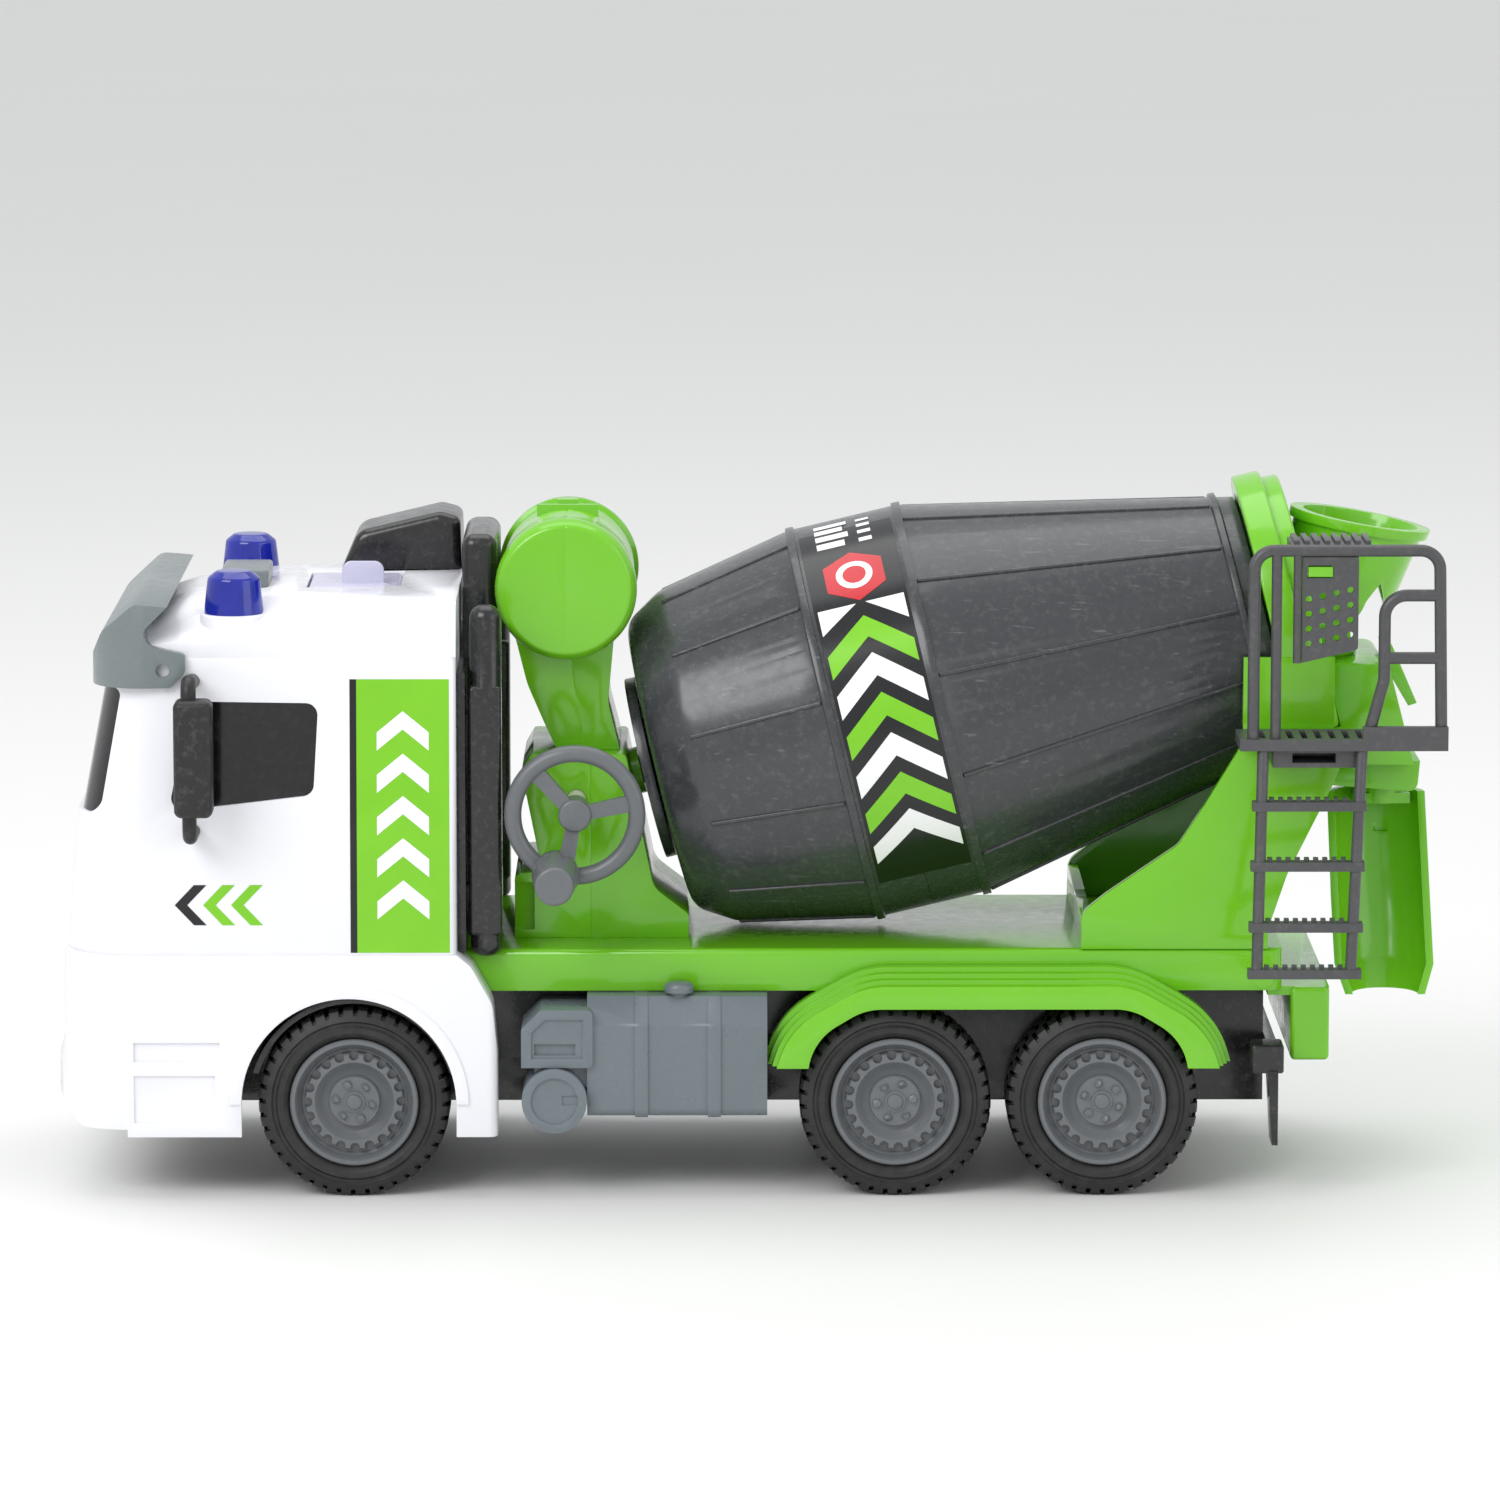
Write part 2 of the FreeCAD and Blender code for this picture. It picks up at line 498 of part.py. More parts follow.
# ---- Water tank and front stand -----------------------------------------------------------
def makeWaterTank():
    """Hollow tank on its neck, moulded as a front and a rear half."""
    profile = [(-tankHalf, 0), (-tankHalf, tankR - 1.4, 1.2), (-tankHalf + 1.0, tankR - 0.6, 0.4),
               (-tankHalf + 2.6, tankR), (-tankHalf + 4.6, tankR), (-tankHalf + 5.0, tankR - 0.9),
               (tankHalf - 5.0, tankR - 0.9), (tankHalf - 4.6, tankR), (tankHalf - 2.6, tankR),
               (tankHalf - 1.0, tankR - 0.6, 0.4), (tankHalf, tankR - 1.4, 1.2), (tankHalf, 0)]
    centre = Vector(tankX, 0, tankZ)
    drumShape = turned(profile, centre, Vector(0, 1, 0), Vector(1, 0, 0))
    neck = [(-40.6, 90.0), (-43.1, 95.4, 20), (-46.8, 104.0, 20), (-49.3, 114.0), (-49.3, 120.0), (-28.7, 120.0),
            (-28.7, 112.0, 20), (-29.8, 100.0, 8), (-27.3, 90.0)]
    outer = joined([drumShape, prismY(neck, -14.0, 14.0)])
    lugs = [box(-41.0, -36.4, 10.0, 14.5, 137.0, 140.2), box(-45.0, -32.0, 3.6, 5.4, 136.0, 139.9)]
    outer = joined([outer] + lugs)
    innerDrum = rodY(tankX, tankZ, tankR - 2.6, -tankHalf + 1.6, tankHalf - 1.6)
    innerNeck = [(-38.9, 89.0), (-41.5, 95.6), (-45.2, 104.0), (-47.6, 114.0), (-47.6, 120.0), (-30.4, 120.0),
                 (-30.4, 112.0), (-31.4, 100.0), (-29.0, 89.0)]
    shell = outer.cut(joined([innerDrum, prismY(innerNeck, -12.4, 12.4)]))
    frontSide = prismY([(-60, 85), (-60, 145), (tankX, 145), (tankX, 112, 20), (-33.5, 85)], -30, 30)
    keep("water_tank_front", shell.common(frontSide))
    keep("water_tank_rear", shell.cut(frontSide))


def makeStand():
    """Hollow stand under the tank: carries the drum's front bearing and the crank shaft."""
    side = [(-49.5, deckTopZ), (-49.5, 64.4, 1.5), (-44.9, 64.8), (-44.3, 68.0), (-46.8, 80.4, 3), (-48.1, 86.2, 2),
            (-46.0, 89.9, 1), (-26.0, 89.9, 1), (-24.6, 83.0, 15), (-20.2, 61.5, 5), (-12.8, 55.8, 1.5),
            (-12.8, deckTopZ)]
    outer = prismY(side, -20.0, 20.0)
    innerSide = [(-47.6, 49.0), (-47.6, 62.8), (-43.0, 63.4), (-42.4, 68.0), (-44.9, 80.4), (-46.0, 86.0),
                 (-44.8, 88.8), (-27.8, 88.8), (-26.5, 83.0), (-22.1, 60.6), (-15.5, 54.6), (-15.5, 49.0)]
    shell = outer.cut(prismY(innerSide, -18.2, 18.2))
    boss = rodY(crankX, crankZ, 4.0, -19.0, -12.2)
    rearBoss = Part.makeCylinder(5.0, 4.0, onDrum(-45.5, 0), axisU)
    shell = joined([shell, boss, rearBoss])
    shell = shell.cut(rodY(crankX, crankZ, 2.0 + runningGap, -25, -10))
    shell = shell.cut(Part.makeCylinder(3.0 + runningGap, 20.0, onDrum(-50, 0), axisU))
    shell = shell.cut(Part.makeCylinder(20.4, 9.0, onDrum(-41.3, 0), axisU))
    shell = shell.cut(box(-49.9, -45.4, -21, -18.9, 52.6, 62.6))
    shell = max(shell.Solids, key=lambda s: s.Volume)
    splitX = -33.4
    front = shell.common(box(-60, splitX, -30, 30, 40, 100))
    rear = shell.common(box(splitX, 0, -30, 30, 40, 100))
    keep("stand_front", front)
    keep("stand_rear", rear)


# ---- Drum and its drive -------------------------------------------------------------------
def bevelGear(teeth, mate, apex, along, across, phase):
    """Straight bevel gear as a cone frustum with tapered teeth; along points away from the apex."""
    pitchR = teeth * toothModule / 2
    depth = mate * toothModule / 2                   # pitch circle's distance from the apex
    cone = math.hypot(pitchR, depth)
    inner = 1 - 2.6 / cone                           # face width of 2.6 along the cone
    across2 = along.cross(across)

    def place(radius, angle, scale):
        flat = across * math.cos(angle) + across2 * math.sin(angle)
        return apex + (along * depth + flat * radius) * scale

    rootR = pitchR - toothDepth * cone / depth
    tipR = pitchR + toothHeight * cone / depth
    pitch = 2 * math.pi / teeth
    halfTooth = pitch / 4 - backlash / pitchR
    lean = 0.36 * toothModule / pitchR
    points = []
    for i in range(teeth):
        mid = phase + i * pitch
        points += [(rootR, mid - halfTooth - lean), (tipR, mid - halfTooth + lean),
                   (tipR, mid + halfTooth - lean), (rootR, mid + halfTooth + lean)]
    wires = []
    for scale in (inner, 1.0):
        corners = [place(r, a, scale) for r, a in points]
        wires.append(Part.makePolygon(corners + [corners[0]]))
    return loft(wires)


def makeDrum():
    """Two moulded shells joined between the rings, turning with the drive gear and its shaft."""
    t = drumWall
    front = [(-37.5, 0), (-37.5, 31.0, 5.0), (-29.0, 36.2, 10), (0.0, 42.0), (0.0, ringR), (1.8, ringR),
             (1.8, 42.2), (12.4, 42.2), (12.4, 42.2 - t), (0.0, 42.0 - t), (-28.4, 36.2 - t, 8),
             (-37.5 + t, 29.6, 3.5), (-37.5 + t, 0)]
    keep("drum_front_shell", turned(front, drumO, axisU, axisN))
    s2, sm = ringGap, mouthS
    rearR = mouthR
    slope = (42.0 - rearR) / (sm - s2)
    ring = 89.6
    ringRise = 42.0 - slope * (ring - s2) + 0.9
    rear = [(12.4, 42.2), (s2 - 1.8, 42.2), (s2 - 1.8, ringR), (s2, ringR), (s2, 42.0),
            (ring - 1.0, 42.0 - slope * (ring - 1.0 - s2)), (ring - 0.6, ringRise), (ring + 0.6, ringRise),
            (ring + 1.0, 42.0 - slope * (ring + 1.0 - s2)), (sm, rearR), (sm, rearR - t),
            (s2, 42.0 - t), (12.4, 42.2 - t)]
    shell = turned(rear, drumO, axisU, axisN)
    fins = []
    for k in range(3):
        turn = 2 * math.pi * k / 3
        out = axisN * math.cos(turn) + Vector(0, 1, 0) * math.sin(turn)
        side = axisU.cross(out)
        corners = [drumO + axisU * s + out * r + side * w for s, r, w in
                   ((26.0, 40.9, -0.7), (26.0, 34.0, -0.7), (84.0, 23.0, -0.7), (84.0, 28.2, -0.7))]
        face = Part.Face(Part.makePolygon(corners + [corners[0]]))
        fins.append(face.extrude(side * 1.4))
    keep("drum_rear_shell", joined([shell] + fins))
    apexS = (crankX - drumX) / math.cos(tilt)
    apex = onDrum(apexS, 0)
    gear = bevelGear(gearTeeth, pinionTeeth, apex, axisU, Vector(0, -1, 0), 0.0)
    pitchS = apexS + pinionTeeth * toothModule / 2
    disc = turned([(-40.6, 0), (-40.6, 19.5), (-38.4, 19.5), (-38.4, 6.0), (-37.5, 6.0), (-37.5, 0)],
                  drumO, axisU, axisN)
    shaft = Part.makeCylinder(3.0, -40.0 - pitchS, onDrum(pitchS, 0), axisU)
    keep("drum_gear", joined([gear, shaft, disc]))


def makeCrank():
    """Handwheel on a shaft that ends in the bevel pinion, with its own turning knob."""
    apex = Vector(crankX, 0, crankZ)
    outward = Vector(0, -1, 0)
    pitch = 2 * math.pi / pinionTeeth
    pinion = bevelGear(pinionTeeth, gearTeeth, apex, outward, axisU, pitch / 2)
    pitchY = gearTeeth * toothModule / 2
    shaft = rodY(crankX, crankZ, 2.0, -38.0, -pitchY)
    collar = rodY(crankX, crankZ, 3.4, -11.9, -pitchY)
    keep("crank_shaft", joined([pinion, shaft, collar]))
    centre = Vector(crankX, 0, crankZ)
    up, right = Vector(0, 0, 1), Vector(1, 0, 0)
    rim = Part.makeTorus(12.9, 1.8, centre + outward * 40.6, outward)
    hub = turned([(33.0, 2.0), (33.0, 3.0), (42.2, 3.5, 0.8), (42.8, 0), (38.0, 0), (38.0, 2.0)], centre, outward, up)
    parts = [rim, hub]
    for angle in (132, 12, 260):
        a = math.radians(angle)
        radial = right * math.cos(a) + up * math.sin(a)
        side = up * math.cos(a) - right * math.sin(a)
        spoke = [centre + outward * 39.2 + radial * r + side * w for r, w in
                 ((2.8, -1.5), (12.4, -1.7), (12.4, 1.7), (2.8, 1.5))]
        parts.append(Part.Face(Part.makePolygon(spoke + [spoke[0]])).extrude(outward * 2.2))
    a = math.radians(252)
    knobX, knobZ = crankX + 12.9 * math.cos(a), crankZ + 12.9 * math.sin(a)
    parts.append(rodY(knobX, knobZ, 4.6, -42.2, -38.8))
    parts.append(rodY(knobX, knobZ, 1.5, -57.0, -42.0))
    keep("handwheel", joined(parts))
    grip = turned([(42.8, 1.5 + runningGap), (42.8, 5.0, 0.6), (44.4, 4.9), (57.9, 4.0, 0.8), (57.9, 0),
                   (57.3, 0), (57.3, 1.5 + runningGap)], Vector(knobX, 0, knobZ), outward, up)
    for k in range(8):
        b = math.radians(45 * k + 22.5)
        grip = grip.cut(rodY(knobX + 5.6 * math.cos(b), knobZ + 5.6 * math.sin(b), 1.1, -56.8, -43.6))
    keep("handwheel_knob", grip)


# ---- Rear stand, hopper and chute ---------------------------------------------------------
def makeRearStand():
    plate = [(69.3, deckTopZ), (69.5, 58.5, 4), (74.6, 62.6, 4), (89.5, 72.8, 6), (95.0, 81.3, 6),
             (104.5, 97.0), (126.0, 97.0), (121.9, 86.0), (112.3, 66.5, 10), (108.4, 54.8, 8), (108.4, deckTopZ)]
    side = prismY(plate, -deckHalf, -deckHalf + 2.2)
    front = box(69.4, 71.6, -deckHalf + 1, 0, deckTopZ, 57.6)
    rear = prismY([(106.4, deckTopZ), (106.4, 55.2, 8), (110.3, 67.2, 10), (119.6, 85.6), (121.9, 86.0),
                   (112.3, 66.5, 10), (108.4, 54.8, 8), (108.4, deckTopZ)], -deckHalf + 1, 0)
    top = box(106.0, 124.6, -deckHalf + 1, 0, 84.2, 86.2)
    drumRoom = Part.makeCone(36.0, 28.9, 34.0, onDrum(60.0, 0), axisU)
    collarRoom = Part.makeCylinder(31.5, 30.0, onDrum(mouthS, 0), axisU)
    top = top.common(prismY(plate, -40, 10)).cut(drumRoom).cut(collarRoom)
    keepPair("rear_stand", joined([side, front, rear, top]))


hopperX, hopperZ = 129.4, 137.6      # middle of the hopper's rim
hopperLean = math.radians(-10.3)


def funnel(grow):
    """Hopper body: a wide cone above a narrower one that leans towards the drum's mouth."""
    rim = Vector(hopperX, 0, hopperZ)
    waist = Vector(124.6, 0, 122.5)
    foot = Vector(114.8, 0, 108.6)
    rise = (rim - waist).Length
    upper = Part.makeCone(12.2 + grow, 14.3 + grow, rise * 1.3, waist, rim - waist)
    lower = Part.makeCone(10.3 + grow, 12.2 + grow, (waist - foot).Length, foot, waist - foot)
    cut = prismY([(100, hopperZ + 5.34), (160, hopperZ - 5.56), (160, 190), (100, 190)], -60, 60)
    return joined([upper, Part.makeSphere(12.2 + grow, waist), lower]).cut(cut)


def makeHopper():
    """Mouth ring round the drum, and the hopper that pours into it."""
    ring = [(94.6, 27.9), (94.6, 31.5, 0.6), (100.6, 31.5, 0.8), (100.6, 29.9), (104.2, 29.9, 0.8),
            (104.2, 12.6), (102.4, 12.6), (102.4, 27.9)]
    collar = turned(ring, drumO, axisU, axisN)
    legs = []
    for side in (-1, 1):
        leg = box(103.0, 122.0, 27.0, deckHalf - 2.3, 97.0, 112.0)
        leg = leg.cut(Part.makeCylinder(30.3, 40, onDrum(80, 0), axisU))
        legs.append(leg if side > 0 else mirrored(leg))
    keep("mouth_ring", joined([collar] + legs))
    tip = Part.makeCylinder(12.4, 14.0, onDrum(94.0, 0), axisU)
    rimNormal = Vector(math.sin(-hopperLean), 0, math.cos(hopperLean))
    lip = funnel(1.1).common(Part.makeCylinder(30, 2.0, Vector(hopperX, 0, hopperZ) - rimNormal * 2.0, rimNormal))
    body = joined([funnel(0), tip, lip])
    arm = box(114.8, 119.8, -51.2, -8.0, 131.6, 133.6)
    body = joined([body, arm]).cut(funnel(-1.6)).cut(Part.makeCylinder(10.8, 40.0, onDrum(80.0, 0), axisU))
    ringSpace = Part.makeCylinder(40, 30, onDrum(74.2, 0), axisU).cut(
        Part.makeCylinder(12.5, 32, onDrum(73.0, 0), axisU))
    body = body.cut(ringSpace)
    keep("hopper", max(body.Solids, key=lambda s: s.Volume))


def makeHood():
    """Discharge hood under the hopper, open below, leading into the chute."""
    side = [(113.2, 97.2), (113.2, 108.8), (134.3, 108.8, 3), (139.8, 87.6), (124.0, 87.6), (120.6, 97.2)]
    hood = prismY(side, -20.0, 20.0)
    inside = [(114.9, 80.0), (114.9, 107.0), (133.0, 107.0, 3), (138.0, 87.0), (136, 80.0)]
    hood = hood.cut(prismY(inside, -18.2, 18.2))
    hood = hood.cut(funnel(0.3)).cut(Part.makeCylinder(30.1, 40, onDrum(64.4, 0), axisU))
    flap = prismY([(134.2, 111.2), (136.0, 111.2), (141.4, 98.8), (139.6, 98.2), (135.0, 106.0)], -7.0, 7.0)
    hood = joined([hood, flap])
    keep("discharge_hood", max(hood.Solids, key=lambda s: s.Volume))
    bracket = prismY([(122.2, 86.3), (122.2, 82.4), (141.0, 80.9, 2), (141.6, 87.5), (124.0, 87.5)], -14.5, 14.5)
    bracket = bracket.cut(prismZ([(125.0, -11.0), (125.0, 11.0), (138.5, 11.0), (138.5, -11.0)], 70, 90))
    bridge = box(123.0, 140.0, -3.4, 3.4, 83.4, 86.0)
    pin = rodZ(chutePivotX, 0, 2.0, 79.2, 85.0)
    bracket = joined([bracket, bridge, pin])
    keep("chute_bracket", bracket)


def makeChute():
    """Trough that hangs from the bracket and swings about the upright pivot."""
    def section(cx, y, z, half, depth, t):
        outer = Part.Arc(Vector(cx - half, y, z), Vector(cx, y + depth, z), Vector(cx + half, y, z)).toShape()
        lowEdge = Part.makeLine(Vector(cx + half, y, z), Vector(cx + half - t, y, z))
        inner = Part.Arc(Vector(cx + half - t, y, z), Vector(cx, y + depth - t, z),
                         Vector(cx - half + t, y, z)).toShape()
        close = Part.makeLine(Vector(cx - half + t, y, z), Vector(cx - half, y, z))
        return Part.Wire([outer, lowEdge, inner, close])

    px = chutePivotX
    trough = loft([section(px - 1.4, -5.0, 79.6, 10.4, 10.0, 1.6), section(px - 0.6, -10.5, 58.0, 10.5, 11.0, 1.6),
                   section(px, -14.5, 44.0, 10.5, 10.5, 1.6)])
    sole = loft([section(px, -14.5, 44.0, 10.5, 10.5, 1.6), section(px, -18.4, 38.2, 8.4, 9.5, 1.6)])
    cap = box(px - 6, px + 6, -4.0, 4.6, 76.8, 79.0)
    eye = rodZ(px, 0, 4.6, 76.8, 80.6)
    chute = joined([trough, sole, cap, eye])
    chute = chute.cut(rodZ(px, 0, 2.0 + runningGap, 70, 90))
    keep("chute", max(chute.Solids, key=lambda s: s.Volume))


# ---- Platform and ladder ------------------------------------------------------------------
def makePlatform():
    near, far, top = platformNear, platformFar, floorTopZ
    frame = box(101.0, 144.0, near, far, 95.4, top).cut(box(103.4, 141.8, near + 2.2, far - 2.0, 90, 100))
    slats = [box(x, x + 1.7, near + 2.0, far - 1.8, 95.6, top) for x in [103.6 + 2.9 * i for i in range(14)]]
    sideBar = box(126.4, 144.0, near, near + 2.0, 95.4, 100.4)
    bracket = box(108.0, 126.0, near + 2.4, -deckHalf, 91.6, 95.5).cut(box(112.0, 121.0, near, -40, 92.6, 94.6))
    keep("platform_floor", joined([frame, sideBar, bracket] + slats))
    y = near + 1.6
    r = 1.25
    outerLoop = bar([Vector(103.8, y, top), Vector(103.8, y, 136.9), Vector(141.9, y, 136.9),
                     Vector(142.6, y, 100.4)], r, 4.0)
    hand = bar([Vector(127.4, y, top), Vector(130.7, y, 110.0), Vector(130.7, y, 127.6), Vector(142.0, y, 127.6)],
               r, 4.5)
    cross = rodX(y, 114.6, r, 130.8, 142.2)
    posts = [rodZ(108.4, y, 1.1, top, 136.5), rodZ(112.7, y, 0.9, 113.6, 136.5)]
    panel = prismY([(113.7, 135.6), (125.2, 135.6), (125.2, 116.4, 1), (113.7, 113.7)], y - 0.6, y + 0.9)
    for i in range(4):
        for j in range(4):
            x, z = 115.0 + 2.85 * i, 117.6 + 3.1 * j + 0.62 * i
            panel = panel.cut(rodY(x, z, 0.7, y - 2, y + 3))
    panel = panel.cut(box(114.6, 120.0, y - 2, y + 3, 131.3, 133.9))
    keep("guard_rail", joined([outerLoop, hand, cross] + posts).cut(joined([frame, sideBar])))
    step = box(111.4, 127.6, y + 1.4, -36.0, 136.2, 138.0)
    teeth = [box(x, x + 1.1, y + 1.5, -36.4, 137.8, 138.8) for x in [112.0 + 2.1 * i for i in range(8)]]
    block = box(114.0, 125.0, y + 0.2, y + 2.8, 134.2, 135.5)
    riser = box(114.0, 125.0, y + 1.35, y + 2.8, 134.2, 137.0)
    keep("step_panel", joined([panel, step, block, riser] + teeth))
    railX = ((105.9, 105.0), (126.3, 124.4))
    ly = near + 1.5
    rails = []
    for a, b in railX:
        head, foot = Vector(a, ly, 95.4), Vector(b, ly, 47.6)
        rails.append(Part.makeCylinder(1.2, (foot - head).Length, head, foot - head))
    rungs = []
    for z in (83.8, 71.2, 58.4, 48.6):
        x0 = 105.0 + 0.9 * (z - 47.6) / 47.8
        rungs.append(box(x0 - 1.9, x0 + 21.6, ly - 1.5, ly + 2.0, z - 1.0, z + 0.9))
        rungs += [box(x, x + 1.0, ly + 0.2, ly + 1.8, z + 0.8, z + 1.6) for x in [x0 + 1.6 + 1.9 * i for i in range(9)]]
    ladder = joined(rails + rungs).cut(box(90, 150, -60, 0, 95.4, 99))
    keep("access_ladder", ladder)


makeAxle("front_axle", frontAxleX)
makeAxle("mid_axle", midAxleX)
makeAxle("rear_axle", rearAxleX)
makeChassis()
makeDeck()
makeFender()
makeTankLeft()
makeTail()
makeCabUpper()
makeCabLower()
makeRoof()
makeBeacons()
makeButton()
makeMirror()
makeCabBack()
makeElectronics()
makeWaterTank()
makeStand()
makeDrum()
makeCrank()
makeRearStand()
makeHopper()
makeHood()
makeChute()
makePlatform()

os.makedirs("parts", exist_ok=True)
for name, shape in nodes.items():
    solids = shape.Solids
    good = shape.isValid() and all(s.isClosed() for s in solids)
    print("%-22s %d solids %9.1f mm3 %s" % (name, len(solids), shape.Volume, "" if good else "NOT CLOSED"))
    shape.exportStep("parts/" + name + ".step")
print(len(nodes), "nodes")
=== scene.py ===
import bpy
import json
import math
from mathutils import Matrix, Vector


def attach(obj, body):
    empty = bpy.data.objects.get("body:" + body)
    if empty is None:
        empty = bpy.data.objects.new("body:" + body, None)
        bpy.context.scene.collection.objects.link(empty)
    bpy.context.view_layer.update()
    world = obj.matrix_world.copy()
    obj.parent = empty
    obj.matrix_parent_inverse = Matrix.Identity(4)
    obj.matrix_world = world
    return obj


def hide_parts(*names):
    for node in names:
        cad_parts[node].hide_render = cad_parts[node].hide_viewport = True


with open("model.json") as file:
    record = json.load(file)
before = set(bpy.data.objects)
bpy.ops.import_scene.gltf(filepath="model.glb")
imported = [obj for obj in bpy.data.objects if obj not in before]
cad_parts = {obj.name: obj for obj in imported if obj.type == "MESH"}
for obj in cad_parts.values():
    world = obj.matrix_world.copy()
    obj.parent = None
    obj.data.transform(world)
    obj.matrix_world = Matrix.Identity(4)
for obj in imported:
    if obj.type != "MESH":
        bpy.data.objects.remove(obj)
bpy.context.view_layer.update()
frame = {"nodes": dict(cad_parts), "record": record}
cadNodes = frame["nodes"]
bodyOf = {node: body for body, members in frame["record"]["behaviour"]["bodies"].items() for node in members}
mm = 0.001
bpy.ops.object.select_all(action="DESELECT")
print("frame loaded:", len(cadNodes), "nodes")

# Millimetres and degrees, as in the truck's own frame.
truck = {"drumTilt": 13.5, "drumOrigin": (17.5, 0.0, 93.3), "wheelRadius": 20.0,
         "axles": {"front_axle": -82.6, "mid_axle": 30.3, "rear_axle": 73.5}}
smoothAngle = 32      # edges sharper than this stay crisp, in degrees


def srgb(hexCode):
    parts = [int(hexCode[i:i + 2], 16) / 255 for i in (1, 3, 5)]
    return tuple(c / 12.92 if c <= 0.04045 else ((c + 0.055) / 1.055) ** 2.4 for c in parts) + (1.0,)


def addNode(tree, kind, settings=None, links=None, **props):
    node = tree.nodes.new(kind)
    for key, value in props.items():
        setattr(node, key, value)
    for key, value in (settings or {}).items():
        node.inputs[key].default_value = value
    for key, socket in (links or {}).items():
        tree.links.new(socket, node.inputs[key])
    return node


def startMaterial(name):
    material = bpy.data.materials.new(name)
    material.use_nodes = True
    tree = material.node_tree
    surface = tree.nodes["Principled BSDF"]
    place = addNode(tree, "ShaderNodeTexCoord").outputs["Object"]
    return material, tree, surface, place


def mouldedPlastic(name, look):
    # injection moulded skin: slow colour drift, a faint flow ripple, fine scuffs and a little dust
    material, tree, surface, place = startMaterial(name)
    flow = addNode(tree, "ShaderNodeTexNoise", {"Scale": 1 / (look["driftMm"] * mm), "Detail": 3.0,
                                                "Roughness": 0.55}, {"Vector": place})
    tint = addNode(tree, "ShaderNodeMix", {"A": srgb(look["deep"]), "B": srgb(look["colour"])},
                   {"Factor": flow.outputs["Fac"]}, data_type="RGBA")
    dust = addNode(tree, "ShaderNodeTexNoise", {"Scale": 1 / (look["dustMm"] * mm), "Detail": 6.0, "Roughness": 0.7},
                   {"Vector": place})
    dustAmount = addNode(tree, "ShaderNodeMapRange", {"From Min": 0.52, "From Max": 0.78, "To Min": 0.0,
                                                      "To Max": look["dust"]}, {"Value": dust.outputs["Fac"]})
    skin = addNode(tree, "ShaderNodeMix", {"B": srgb(look["dustColour"])},
                   {"Factor": dustAmount.outputs["Result"], "A": tint.outputs["Result"]}, data_type="RGBA")
    tree.links.new(skin.outputs["Result"], surface.inputs["Base Color"])
    scuff = addNode(tree, "ShaderNodeTexNoise", {"Scale": 1 / (look["scuffMm"] * mm), "Detail": 5.0,
                                                 "Roughness": 0.6}, {"Vector": place})
    gloss = addNode(tree, "ShaderNodeMapRange", {"From Min": 0.35, "From Max": 0.75, "To Min": look["gloss"],
                                                 "To Max": look["gloss"] + look["scuff"]},
                    {"Value": scuff.outputs["Fac"]})
    tree.links.new(gloss.outputs["Result"], surface.inputs["Roughness"])
    grain = addNode(tree, "ShaderNodeTexNoise", {"Scale": 1 / (look["grainMm"] * mm), "Detail": 3.0},
                    {"Vector": place})
    ripple = addNode(tree, "ShaderNodeBump", {"Strength": look["grain"], "Distance": 0.05 * mm},
                     {"Height": grain.outputs["Fac"]})
    tree.links.new(ripple.outputs["Normal"], surface.inputs["Normal"])
    surface.inputs["IOR"].default_value = look["ior"]
    surface.inputs["Coat Weight"].default_value = look["coat"]
    surface.inputs["Coat Roughness"].default_value = 0.06
    return material


plasticBase = {"driftMm": 60, "dustMm": 1.6, "dust": 0.05, "dustColour": "#B9B6AE", "scuffMm": 3.0, "gloss": 0.2,
               "scuff": 0.12, "grainMm": 0.35, "grain": 0.06, "ior": 1.53, "coat": 0.0}
plasticLooks = {
    # acrylonitrile butadiene styrene from a polished mould: bright, mirror-like, with soft waves
    "limeGreenAbs": {"colour": "#74C21E", "deep": "#68B518", "gloss": 0.13, "coat": 0.15},
    "whiteAbs": {"colour": "#EDEDF1", "deep": "#E4E4EA", "gloss": 0.17, "dust": 0.03, "coat": 0.1},
    # polypropylene: waxy sheen that marks easily, so it shows dust and hairlines
    "charcoalPolypropylene": {"colour": "#3A3C3F", "deep": "#333538", "gloss": 0.22, "dust": 0.12, "coat": 0.1},
    # satin ABS from a fine spark-eroded mould: broad, soft highlights
    "slateGreyAbs": {"colour": "#6E777D", "deep": "#636C72", "gloss": 0.27, "dust": 0.06},
    "hubGreyAbs": {"colour": "#686B6E", "deep": "#5D6063", "gloss": 0.3, "dust": 0.05},
    # nylon, tough and slightly dry to look at
    "railGreyNylon": {"colour": "#4B4B4D", "deep": "#404042", "gloss": 0.36, "dust": 0.1},
    # glossy black ABS, dust showing on top
    "blackAbs": {"colour": "#1D1D1E", "deep": "#161617", "gloss": 0.2, "dust": 0.1, "coat": 0.1},
    # flexible vinyl: dull, with a faint greasy sheen
    "softBlackVinyl": {"colour": "#1C1C1D", "deep": "#141415", "gloss": 0.42, "dust": 0.12, "ior": 1.5},
    # satin ABS, warm grey
    "brownGreyAbs": {"colour": "#767F80", "deep": "#6A7374", "gloss": 0.25, "dust": 0.05},
    # acrylic sheet, nearly opaque: the sharpest reflections on the truck
    "smokedBlackAcrylic": {"colour": "#0C0C0F", "deep": "#08080A", "gloss": 0.06, "dust": 0.04, "ior": 1.49,
                           "coat": 0.4},
    # polystyrene with a pale violet cast and a hard, clean shine
    "lavenderPolystyrene": {"colour": "#C9C8DC", "deep": "#B9B8D0", "gloss": 0.2, "dust": 0.03},
    # acetal, milky and slippery, as gears and shafts are moulded from
    "gearAcetal": {"colour": "#D8D6CC", "deep": "#CCCABF", "gloss": 0.33, "dust": 0.03},
}
